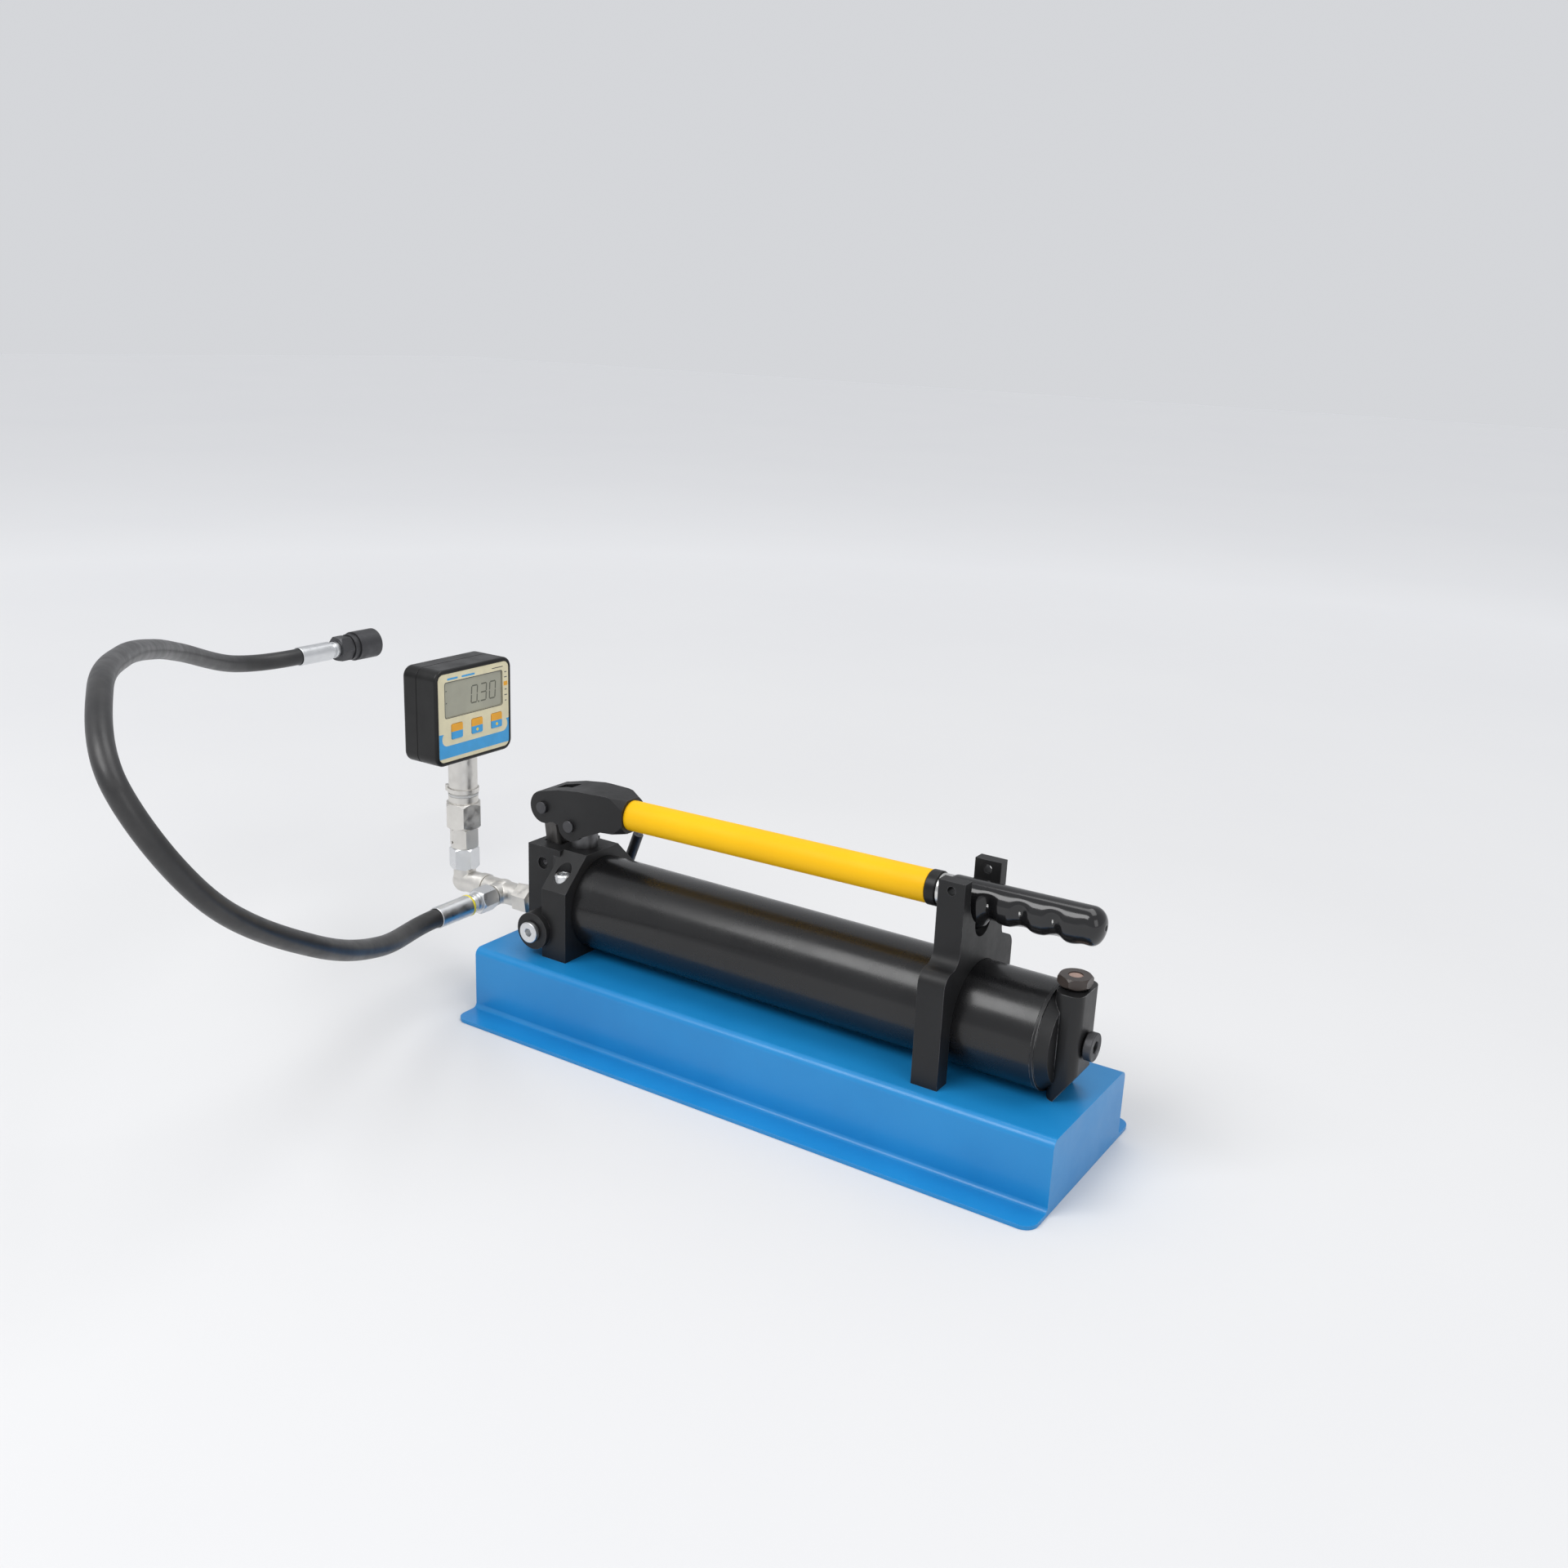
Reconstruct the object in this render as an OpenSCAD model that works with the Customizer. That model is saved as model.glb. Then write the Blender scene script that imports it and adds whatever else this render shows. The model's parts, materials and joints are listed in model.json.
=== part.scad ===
// Hydraulic hand pump on a folded tray, with a lever, a digital gauge and a hose.
// X runs from the pump head (-X) to the rear cap (+X), Y=0 is the pump's centre plane,
// Z=0 is the surface the tray stands on and X=0 is the middle of the tray.

/* [Base tray] */
// Length of the tray
base_len = 500; // [490:1:520]
// Width over the tray's long walls
base_w = 124; // [120:1:130]
// Height of the tray's deck
base_h = 54; // [50:1:60]
// Thickness of the folded sheet
sheet_t = 3; // [2:0.5:4]
// Width of the foot flange on each long side
foot_w = 24; // [18:1:30]
// Outside radius of the deck's long folds
fold_r = 6; // [5:0.5:8]
// Corner radius of the foot flanges
foot_corner_r = 10; // [4:1:16]
// How far the tray's middle lies in front of the pump's centre plane
tray_shift = 4; // [0:0.5:5]

/* [Reservoir] */
// Outside diameter of the tube
tube_d = 76; // [74:0.5:77]
// Wall of the tube
tube_t = 3; // [2.5:0.5:4]
// Length of the tube
tube_len = 390; // [385:1:395]
// Gap between the tube and the deck
tube_gap = 1; // [0.5:0.5:2]

/* [Pump head] */
// Distance from the tray's end to the tube's front end
tube_setback = 76; // [74:1:80]
// Thickness of the flange that carries the tube
flange_t = 24; // [22:0.5:26]
// Half width of the flange
flange_half = 45; // [42:0.5:48]
// Height of the head above the deck
head_h = 83; // [80:1:86]
// Size of the chamfers on the flange's shoulders
shoulder = 25.5; // [20:0.5:28]
// Length of the narrow valve block
block_len = 32; // [30:0.5:36]
// Half width of the valve block
block_half = 24.6; // [22:0.2:27]
// Diameter of the side plug's boss
boss_d = 30; // [26:1:32]

/* [Lever linkage] */
// Diameter of the piston
piston_d = 23; // [20:0.5:24]
// Diameter of the two lever pins
pin_d = 10; // [8:0.5:10]
// Fulcrum pin to piston pin, along X
fulcrum_dx = 27.7; // [26:0.1:28.5]
// Fulcrum pin above piston pin at rest
fulcrum_dz = 10.1; // [9:0.1:11]
// Height of the piston pin above the head at rest
piston_pin_h = 19.6; // [18:0.1:21]
// Half width of the lever fork
fork_half = 17; // [16:0.5:19]
// Thickness of each fork ear
ear_t = 5; // [4:0.2:5]

/* [Handle] */
// Outside diameter of the painted tube
handle_d = 24; // [23:0.5:25]
// Rise of the handle towards the grip, in degrees
handle_tilt = 0.9; // [0.5:0.1:1.2]
// Height of the handle's axis above the head, at the tray's middle
handle_h = 37.1; // [36.5:0.1:38]
// Diameter of the inner bar
bar_d = 20; // [18:0.5:20]
// Diameter of the grip
grip_d = 25.2; // [24:0.2:27]
// Distance between the finger bumps
finger_pitch = 23; // [20:0.5:24]

/* [Handle bracket] */
// Middle of the bracket plate along X
bracket_x = 148.5; // [145:0.5:152]
// Thickness of the bracket plate
bracket_t = 20; // [16:0.5:22]
// Half width of the bracket's feet
bracket_half = 52.4; // [50:0.2:54]
// Outer half width of the ears
ear_outer = 32.3; // [31:0.1:34]
// Inner half width between the ears
ear_inner = 22.6; // [20:0.2:24]
// Height of the ears above the deck
ear_h = 142; // [138:1:146]
// Diameter of the holes in the ears
ear_hole_d = 6.2; // [5:0.2:7]

/* [Rear cap] */
// Thickness of the cap's disc
cap_t = 10; // [8:1:12]
// Depth of the port boss behind the disc
port_boss_t = 14; // [12:1:16]
// Half width of the port boss
port_boss_half = 17.5; // [17:0.5:19]
// Width across flats of the filler plug
filler_af = 21; // [20:1:23]

/* [Outlet fittings] */
// Height of the outlet above the deck
outlet_h = 21.5; // [21:0.5:22]
// Distance from the head to the tee's centre
tee_reach = 51; // [50:1:54]
// Distance from the tee's centre to the gauge's axis
gauge_reach = 44; // [43:1:48]
// Width across flats of the small hexagons
small_af = 22; // [19:1:22]
// Width across flats of the gauge nut
gauge_nut_af = 28; // [26:1:30]

/* [Gauge] */
// Width of the gauge case
gauge_w = 88; // [84:1:92]
// Height of the gauge case
gauge_h = 80; // [78:1:84]
// Depth of the front shell
front_depth = 21.5; // [20:0.5:25]
// Depth of the rear shell
rear_depth = 16; // [14:0.5:19]
// Corner radius of the case
case_r = 9; // [7:0.5:11]
// Wall of the case
case_t = 2.6; // [2:0.1:3]

/* [Hose] */
// Outside diameter of the hose
hose_d = 15.2; // [14:0.2:16]
// Inside diameter of the hose
hose_bore = 6.4; // [5:0.2:8]
// Diameter of the crimped ferrules
ferrule_d = 17.6; // [17:0.2:19]
// Inside diameter of the coupler's socket
socket_d = 18; // [16:0.5:19]

/* [Hidden] */
$fn = 96;
slip = 0.05;                 // radial gap of turned pieces that fit one in another
stack_gap = 0.1;             // gap between pieces tightened on one another
eps = 0.01;
way_r = 3;                   // oil ways through the fittings
drill_r = 1.5;               // small ways drilled in the head
tie_r = 6;                   // rod that ties the rear cap to the head
screw_r = 3;                 // screws that hold the pump to the tray
screw_tap = 14;              // depth of their tapped holes
screw_head_h = 4;
washer_h = 1.6;
spigot_len = 13;             // how far the head and the cap reach into the tube
o_ring_in = 6.5;             // O-ring's middle, from the tube's end
o_ring_r = 1.36;
seal_h = 1.05;               // bonded seals

deck_z = base_h;
head_z = deck_z + head_h;
tube_x0 = -base_len / 2 + tube_setback;
tube_x1 = tube_x0 + tube_len;
tube_z = deck_z + tube_gap + tube_d / 2;
bore_r = tube_d / 2 - tube_t;
spigot_r = bore_r - slip;
flange_x0 = tube_x0 - flange_t;
block_x0 = flange_x0 - block_len;

piston_x = flange_x0 + 4.6;
piston_r = piston_d / 2;
piston_pin_z = head_z + piston_pin_h;
fulcrum_x = piston_x - fulcrum_dx;
fulcrum_z = piston_pin_z + fulcrum_dz;
socket_x = flange_x0 + 54;   // end of the lever head's socket
pin_r = pin_d / 2;
link_pin_x = fulcrum_x + 6.3;
link_pin_z = fulcrum_z - 43.7;
link_pin_r = 3;
link_eye_r = 6.3;
link_half = 10.8;            // half thickness of the link along Y
chamber_z0 = deck_z + 24;    // bottom of the pumping chamber
piston_z0 = chamber_z0 + 1;

ring_h = 3.4;                // height of the seals round the piston
gland_r = piston_r + 2.5;
seal_z0 = link_pin_z - 14;   // bottom of the piston seal, below the link's pocket
guide_z0 = seal_z0 - 4.6;
suction_z = deck_z + 10.5;
suction_r = 2.5;             // outside radius of the suction tube

ball_r = 3;                  // suction and outlet valve balls
seat_r = 2;
valve_r = 4.4;               // radius of the chambers round those balls
seat_rise = sqrt(ball_r * ball_r - seat_r * seat_r);
relief_ball_r = 2.5;
relief_seat_r = 1.5;
relief_rise = sqrt(relief_ball_r * relief_ball_r - relief_seat_r * relief_seat_r);
ball_gap = 0.02;
spring_r = 2.9;              // middle of the coils on the two valve balls
spring_wire = 0.4;
spring_rise = 2.2;           // first coil above the ball's middle
relief_spring_r = 2.6;
relief_wire = 0.5;
relief_spring_rise = 1.9;
relief_screw_r = 4;
relief_cap_r = 6.5;

handle_z = head_z + handle_h;
handle_r = handle_d / 2;
bar_r = bar_d / 2;
tube_start = piston_x + 21;  // bottom of the lever head's socket, along the handle
tube_end = 117.5;            // outer end of the painted tube
collar_len = 8;
grip_x0 = 134;
grip_x1 = 232;               // end of the inner bar; the grip's bulb closes over it

outlet_z = deck_z + outlet_h;
tee_x = block_x0 - tee_reach;
gauge_x = tee_x - gauge_reach;
port_r = 6.9;                // threads of the outlet run
port_len = 10;               // depth of the threaded ports

boss_x = block_x0 + 26;
boss_face = -50;             // Y of the front boss's face
boss_back = 46;              // Y of the face of the release valve's boss
relief_x = flange_x0 + 11.5;
relief_y = -33;
release_x = boss_x;
release_z = outlet_z;
release_y = boss_back + 10;  // middle of the release lever along Y
release_len = 62;
release_lean = 20.8;         // lean of the release lever towards the tube, in degrees
release_r = 4.4;
spindle_r = 6;
return_y = 21.2;             // Y of the release valve's way back to the tube
inlet_seat_z = chamber_z0 - 10;
outlet_seat_x = block_x0 + 30;
relief_seat_z = outlet_z + 12;
relief_screw_z = head_z - 31; // lower end of the relief screw
relief_head_z = head_z - 22; // seat of its head
relief_spring_z = relief_seat_z + relief_rise + relief_spring_rise;

bracket_x0 = bracket_x - bracket_t / 2;
notch_z = head_z + 23;       // bottom of the notch that the handle lies in
pocket_r = 12.4;             // round pocket for the grip's guard lobe
pocket_z = deck_z + 96;      // bottom of that pocket
web_t = 6;                   // thickness of the plate in front of it
ear_hole_z = deck_z + ear_h - 6.5;

port_x = tube_x1 + 12;       // axis of the filler plug
cap_x1 = tube_x1 + cap_t;
boss_x1 = cap_x1 + port_boss_t;
cap_top = tube_z + 39;
boss_z0 = tube_z - 19;       // where the port boss starts to slope down to the deck

nut_z0 = outlet_z + 12;      // bottom of the gauge's column of hexagons
elbow_nut_h = 18.5;
snubber_h = 18;
gauge_nut_h = 22;
gauge_collar_h = 5.8;        // round collar on top of the gauge nut
gauge_seal_h = 2.3;
snubber_z = nut_z0 + elbow_nut_h + stack_gap;
gauge_nut_z = snubber_z + snubber_h + stack_gap;
gauge_seal_z = gauge_nut_z + gauge_nut_h + gauge_collar_h + stack_gap;
stem_z0 = gauge_seal_z + gauge_seal_h + stack_gap;
stem_neck_r = 8;             // neck of the stem inside the case
gauge_z0 = stem_z0 + 32;
gauge_front = gauge_x + 15;
case_split = gauge_front - front_depth;
gauge_back = case_split - rear_depth;
film_inset = 3.3;            // black rim round the gauge's film
lcd_z = gauge_z0 + gauge_h * 0.683;
lcd_w = 67;
lcd_h = 30;
key_y = 2.6;                 // the keys stand off the middle of the face
key_z = gauge_z0 + gauge_h * 0.348;
key_pitch = 23;
key_w = 12.6;
key_h = 12.8;
board_x = gauge_front - 9.4; // front of the circuit board

hose_y0 = -78;               // where the hose leaves its first ferrule
hose_end = [gauge_x - 250, 40, outlet_z + 150];
hose_tail = [0, 47.2, 0];    // from there to the end of the second ferrule
HOSE_WAY = [                 // points that the hose passes through, with straight ends
    [tee_x, hose_y0, outlet_z],
    [tee_x + 31, -165, outlet_z + 13],
    [tee_x + 76, -263, outlet_z + 58],
    [tee_x + 98, -356, outlet_z + 123],
    [tee_x + 82, -401, outlet_z + 203],
    [tee_x + 13, -360, outlet_z + 241],
    [tee_x - 73, -286, outlet_z + 236],
    [tee_x - 156, -206, outlet_z + 216],
    [tee_x - 232, -128, outlet_z + 190],
    [hose_end[0], hose_end[1] - 70, hose_end[2] + 5],
    hose_end];
hose_sides = 24;
hose_steps = 9;              // stations in each stretch between two way points

// ---------- helpers ----------

// A profile drawn in Y and Z, extruded along X
module along_x(x0, x1) {
    translate([x0, 0, 0]) rotate([90, 0, 90]) linear_extrude(x1 - x0) children();
}

// A profile drawn in X and Z, extruded both ways along Y
module across_y(width) {
    rotate([90, 0, 0]) linear_extrude(width, center = true) children();
}

module rod_x(r, x0, x1, y = 0, z = 0) {
    translate([x0, y, z]) rotate([0, 90, 0]) cylinder(r = r, h = x1 - x0);
}

module rod_y(r, y0, y1, x = 0, z = 0) {
    translate([x, y0, z]) rotate([-90, 0, 0]) cylinder(r = r, h = y1 - y0);
}

module rod_z(r, z0, z1, x = 0, y = 0) {
    translate([x, y, z0]) cylinder(r = r, h = z1 - z0);
}

// A hexagonal prism along Z, by its width across flats, with a corner towards turn degrees
module hex_z(af, z0, z1, x = 0, y = 0, turn = 0) {
    translate([x, y, z0]) rotate(turn) cylinder(d = af / cos(30), h = z1 - z0, $fn = 6);
}

module hex_x(af, x0, x1, y = 0, z = 0, turn = 0) {
    translate([x0, y, z]) rotate([turn, 0, 0]) rotate([0, 90, 0])
        cylinder(d = af / cos(30), h = x1 - x0, $fn = 6);
}

module hex_y(af, y0, y1, x = 0, z = 0, turn = 0) {
    translate([x, y0, z]) rotate([0, turn, 0]) rotate([-90, 0, 0])
        cylinder(d = af / cos(30), h = y1 - y0, $fn = 6);
}

// A hexagon with both ends turned to a chamfer, along Z
module nut_blank(af, h, bevel = 1.8) {
    intersection() {
        cylinder(d = af / cos(30), h = h, $fn = 6);
        rotate_extrude() polygon([[0, 0], [af / 2, 0], [af / cos(30) / 2 + 0.1, bevel],
            [af / cos(30) / 2 + 0.1, h - bevel], [af / 2, h], [0, h]]);
    }
}

// A flat ring about Z
module ring(r_out, r_in, h) {
    difference() {
        cylinder(r = r_out, h = h);
        translate([0, 0, -1]) cylinder(r = r_in, h = h + 2);
    }
}

// An O-ring about X
module o_ring_x(x, r_mid, r_wire, z = 0) {
    translate([x, 0, z]) rotate([0, 90, 0])
        rotate_extrude() translate([r_mid, 0]) circle(r = r_wire);
}

// A compression spring about Z, h high between the middles of its end coils
module spring(r_mid, r_wire, h, turns) {
    steps = turns * 16;
    swept_tube([for (i = [0 : steps]) [r_mid * cos(360 * i / 16), r_mid * sin(360 * i / 16),
        h * i / steps]], r_wire, 8);
}

module rounded_rect(w, h, r) {
    union() {
        square([w - 2 * r, h], center = true);
        square([w, h - 2 * r], center = true);
        for (x = [-1, 1]) for (y = [-1, 1])
            translate([x * (w / 2 - r), y * (h / 2 - r)]) circle(r = r);
    }
}

// The handle's own frame: X along its axis, origin above the tray's middle
module handle_frame() {
    translate([0, 0, handle_z]) rotate([0, -handle_tilt, 0]) children();
}

// ---------- base ----------

// Upside-down channel from z0 up to h, in Y and Z, with rounded deck folds
module channel(w, z0, h, r) {
    translate([-w / 2, z0]) square([w, h - r - z0]);
    translate([r - w / 2, z0]) square([w - 2 * r, h - z0]);
    for (s = [-1, 1]) translate([s * (w / 2 - r), h - r]) circle(r = r);
}

module tray_walls() along_x(-base_len / 2, base_len / 2)
    channel(base_w, 0, base_h, fold_r);

module tray_hollow() along_x(-base_len / 2 + sheet_t, base_len / 2 - sheet_t)
    channel(base_w - 2 * sheet_t, -1, base_h - sheet_t, fold_r - sheet_t);

module tray_feet() {
    root_r = 4;
    linear_extrude(sheet_t) rounded_rect(base_len, base_w + 2 * foot_w, foot_corner_r);
    for (turn = [0, 90]) along_x(-base_len / 2, base_len / 2)
        translate([(turn == 0 ? 1 : -1) * (base_w / 2 - eps), sheet_t - eps])
            rotate(turn) difference() {
                square(root_r);
                translate([root_r, root_r]) circle(r = root_r);
            }
}

HEAD_SCREWS = [[flange_x0 + 11.5, -30], [flange_x0 + 11.5, 30]];
BRACKET_SCREWS = [[bracket_x, -45.3], [bracket_x, 45.3]];
BASE_SCREWS = concat(HEAD_SCREWS, BRACKET_SCREWS);
washer_z = deck_z - sheet_t - stack_gap - washer_h;
module base_tray() color("dodgerblue") difference() {
    translate([0, -tray_shift, 0]) difference() {
        union() {
            tray_walls();
            tray_feet();
        }
        tray_hollow();
    }
    for (p = BASE_SCREWS) rod_z(screw_r + 0.4, base_h - sheet_t - 1, base_h + 1, p[0], p[1]);
}

module base_screws() color("silver") for (p = BASE_SCREWS)
    translate([p[0], p[1], washer_z - stack_gap - screw_head_h]) union() {
        nut_blank(10, screw_head_h, 0.8);
        cylinder(r = screw_r - slip, h = 21);
    }

module base_washers() color("silver") for (p = BASE_SCREWS)
    translate([p[0], p[1], washer_z]) ring(6, screw_r + 0.2, washer_h);

// ---------- pump head ----------

module flange_profile() polygon([
    [-flange_half, deck_z], [flange_half, deck_z],
    [flange_half, head_z - shoulder], [flange_half - shoulder, head_z],
    [shoulder - flange_half, head_z], [-flange_half, head_z - shoulder]]);

// Concave corner between the valve block and the flange
module block_fillet() {
    r = 7;
    intersection() {
        for (turn = [90, 180]) translate([flange_x0, (turn == 90 ? 1 : -1) * block_half, deck_z + 8])
            rotate(turn) translate([-eps, -eps, 0]) linear_extrude(head_h) difference() {
                square(r);
                translate([r, r]) circle(r = r);
            }
        along_x(block_x0, tube_x0) flange_profile();
    }
}

module head_blank() {
    along_x(flange_x0, tube_x0) flange_profile();
    translate([block_x0, -block_half, deck_z + 6])
        cube([block_len + 1, 2 * block_half, head_h - 6]);
    block_fillet();
    rod_x(spigot_r, tube_x0 - 1, tube_x0 + spigot_len, 0, tube_z);
    rod_y(boss_d / 2, boss_face, boss_back, boss_x, outlet_z);
}

// Bores of the piston, the rings round it and the inlet valve below it
module pump_bores() {
    rod_z(piston_r + slip, chamber_z0, head_z + 1, piston_x);
    rod_z(gland_r, guide_z0, guide_z0 + ring_h, piston_x);
    rod_z(gland_r, seal_z0, seal_z0 + ring_h, piston_x);
    rod_z(seat_r, chamber_z0 - 2, chamber_z0 + 1, piston_x);
    rod_z(valve_r, inlet_seat_z, chamber_z0 - 1, piston_x);
    rod_z(port_r + slip, deck_z - 1, inlet_seat_z + eps, piston_x);
    rod_x(seat_r, piston_x, tube_x0 + spigot_len + 1, 0, suction_z);
    rod_x(suction_r + slip, tube_x0 + 3, tube_x0 + spigot_len + 1, 0, suction_z);
}

// Bores of the outlet, the side plug, the relief valve and the release valve
module valve_bores() {
    rod_x(seat_r, outlet_seat_x - 1, piston_x, 0, outlet_z);
    rod_x(valve_r, block_x0 + port_len, outlet_seat_x, 0, outlet_z);
    rod_x(port_r + slip, block_x0 - 1, block_x0 + port_len + eps, 0, outlet_z);
    rod_y(way_r, boss_face + port_len + 1, -12, boss_x, outlet_z);
    rod_y(relief_seat_r, -13, 0, boss_x, outlet_z);
    rod_y(port_r + slip, boss_face - 1, boss_face + port_len + 2, boss_x, outlet_z);
    rod_z(relief_cap_r + 0.4, relief_head_z, head_z + 1, relief_x, relief_y);
    rod_z(relief_screw_r, relief_seat_z, relief_head_z + 1, relief_x, relief_y);
    rod_z(relief_seat_r, outlet_z, relief_seat_z + 1, relief_x, relief_y);
    rod_x(drill_r, boss_x, relief_x, relief_y, outlet_z);
    rod_y(spindle_r + slip, 20, boss_back + 1, release_x, release_z);
    rod_y(drill_r, 0, 21, release_x, release_z);
    rod_x(drill_r, release_x, tube_x0 + spigot_len + 1, return_y, release_z);
}

module link_pocket() {
    translate([link_pin_x - 10.2, -link_half - 1, link_pin_z - link_eye_r - 1.6])
        cube([18.8, 2 * link_half + 2, 80]);
    rod_y(link_pin_r + slip, -block_half - 1, block_half + 1, link_pin_x, link_pin_z);
    rod_y(5, -block_half - 1, -block_half + 2.5, link_pin_x, link_pin_z);
}

module tapped_holes(places) {
    for (p = places) rod_z(screw_r, deck_z - 1, deck_z + screw_tap, p[0], p[1]);
}

module pump_head() color("#26272a") difference() {
    head_blank();
    pump_bores();
    valve_bores();
    link_pocket();
    tapped_holes(HEAD_SCREWS);
    o_ring_groove(tube_x0 + o_ring_in);
    rod_x(tie_r + slip, tube_x0 - 8, tube_x0 + spigot_len + 1, 0, tube_z);
}

// Groove round a spigot inside the tube
module o_ring_groove(x) translate([x - 1.8, 0, tube_z]) rotate([0, 90, 0])
    ring(spigot_r + 1, bore_r - 2.85, 3.6);

module tube_seals() color("#1b1b1b") for (x = [tube_x0 + o_ring_in, tube_x1 - o_ring_in])
    o_ring_x(x, bore_r - 1.4, o_ring_r, tube_z);

module reservoir_tube() color("#2b2b2e") translate([tube_x0, 0, tube_z]) rotate([0, 90, 0])
    ring(tube_d / 2, bore_r, tube_len);

module suction_tube() color("silver") translate([tube_x0 + 4, 0, suction_z])
    rotate([0, 90, 0]) ring(suction_r, suction_r - 1, 60);

module suction_strainer() color("#c9a24a") translate([tube_x0 + 60, 0, suction_z])
    rotate([0, 90, 0]) difference() {
        cylinder(r = 4.4, h = 26);
        translate([0, 0, -1]) cylinder(r = suction_r + slip, h = 25);
        for (z = [7 : 3.5 : 21]) for (a = [0, 90])
            translate([0, 0, z]) rotate([0, 0, a]) rotate([90, 0, 0])
                cylinder(r = 1, h = 12, center = true);
    }

// ---------- valves inside the head ----------

module inlet_seat() color("silver") difference() {
    rod_z(port_r, deck_z + 0.5, inlet_seat_z, piston_x);
    rod_z(seat_r, suction_z - 2, inlet_seat_z + 1, piston_x);
    rod_x(seat_r, piston_x, piston_x + 10, 0, suction_z);
    hex_z(6, deck_z, deck_z + 4, piston_x);
}

module inlet_ball() color("silver")
    translate([piston_x, 0, inlet_seat_z + seat_rise + ball_gap]) sphere(r = ball_r);

// Height of a valve ball's spring in a chamber of that length
function spring_room(chamber) = chamber - seat_rise - spring_rise - spring_wire - slip;

module inlet_spring() color("silver")
    translate([piston_x, 0, inlet_seat_z + seat_rise + spring_rise])
        spring(spring_r, spring_wire, spring_room(chamber_z0 - 1 - inlet_seat_z), 3);

module outlet_ball() color("silver")
    translate([outlet_seat_x - seat_rise - ball_gap, 0, outlet_z]) sphere(r = ball_r);

module outlet_spring() color("silver")
    translate([outlet_seat_x - seat_rise - spring_rise, 0, outlet_z]) rotate([0, -90, 0])
        spring(spring_r, spring_wire, spring_room(outlet_seat_x - block_x0 - port_len), 7);

module relief_ball() color("silver")
    translate([relief_x, relief_y, relief_seat_z + relief_rise + ball_gap])
        sphere(r = relief_ball_r);

module relief_spring() color("silver")
    translate([relief_x, relief_y, relief_spring_z])
        spring(relief_spring_r, relief_wire,
            relief_screw_z - relief_spring_z - relief_wire - stack_gap, 5);

module relief_screw() color("#e3e3e6") difference() {
    union() {
        translate([relief_x, relief_y, relief_head_z + stack_gap]) rotate_extrude()
            polygon([[0, 0], [relief_cap_r, 0], [relief_cap_r, 6.6], [relief_cap_r - 1.3, 8],
                [0, 8]]);
        rod_z(relief_screw_r - slip, relief_screw_z, relief_head_z + 1, relief_x, relief_y);
    }
    hex_z(6, relief_head_z + 4, relief_head_z + 9, relief_x, relief_y, 15);
}

module side_plug() color("#cfcfca") difference() {
    union() {
        rod_y(8.5, boss_face - 5, boss_face - 1.1, boss_x, outlet_z);
        rod_y(port_r, boss_face - 2, boss_face + 10, boss_x, outlet_z);
    }
    hex_y(6, boss_face - 6, boss_face + 1, boss_x, outlet_z);
}

module bonded_seal() ring(8.4, port_r + 0.2, seal_h);

// The same seal lies under the side plug and under the tie screw
module bonded_seals() color("#202021") {
    translate([boss_x, boss_face - 0.02, outlet_z]) rotate([90, 0, 0]) bonded_seal();
    translate([boss_x1 + 0.02, 0, tube_z]) rotate([0, 90, 0]) bonded_seal();
}

// ---------- release valve ----------

module release_spindle() color("#3a3b3d") difference() {
    union() {
        rod_y(spindle_r, 22.8, boss_back + 3, release_x, release_z);
        rod_y(2.6, 20.3, 23, release_x, release_z);
        rod_y(9, boss_back + 1, release_y + 7, release_x, release_z);
    }
    translate([release_x, release_y, release_z]) rotate([0, release_lean, 0])
        cylinder(r = release_r + slip, h = 40, center = true);
}

module release_lever() color("#2f3032")
    translate([release_x, release_y, release_z]) rotate([0, release_lean, 0])
        difference() {
            translate([0, 0, -12]) cylinder(r = release_r, h = release_len + 12);
            translate([0, 0, release_len - 1.2]) cylinder(r1 = 0.2, r2 = 2.2, h = 1.3);
        }

// ---------- lever and piston ----------

module piston() color("#5b5d60") difference() {
    union() {
        rod_z(piston_r, piston_z0, piston_pin_z, piston_x);
        intersection() {
            rod_z(piston_r, piston_pin_z - 1, piston_pin_z + piston_r, piston_x);
            rod_y(piston_r - 0.5, -piston_r, piston_r, piston_x, piston_pin_z);
        }
    }
    rod_y(pin_r + slip, -piston_d, piston_d, piston_x, piston_pin_z);
}

module piston_seal() color("#1f3d6b") translate([piston_x, 0, seal_z0 + slip])
    ring(gland_r - slip, piston_r + slip, ring_h - 2 * slip);

module guide_ring() color("#202022") translate([piston_x, 0, guide_z0 + slip])
    ring(gland_r - slip, piston_r + slip, ring_h - 2 * slip);

// The eye at the bottom is slotted: this is where the closed linkage is opened
module fulcrum_link() color("#333437") difference() {
    union() {
        across_y(2 * link_half) union() {
            translate([fulcrum_x, fulcrum_z]) circle(r = 9);
            translate([link_pin_x, link_pin_z]) circle(r = link_eye_r);
            polygon([[fulcrum_x - 6.2, fulcrum_z], [link_pin_x - link_eye_r + 0.4, link_pin_z],
                [link_pin_x + link_eye_r - 0.4, link_pin_z], [fulcrum_x + 6.6, fulcrum_z]]);
        }
    }
    rod_y(pin_r + slip, -link_half - 1, link_half + 1, fulcrum_x, fulcrum_z);
    across_y(2 * link_half + 2) translate([link_pin_x - 0.2, link_pin_z])
        rounded_rect(2 * link_pin_r + 4.2, 2 * link_pin_r + 1.2, link_pin_r + 0.5);
}

module link_pin() color("#1c1c1e") difference() {
    rod_y(link_pin_r, -block_half + 2.6, block_half - 1, link_pin_x, link_pin_z);
    hex_y(3, -block_half + 2, -block_half + 5, link_pin_x, link_pin_z);
}

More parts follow.
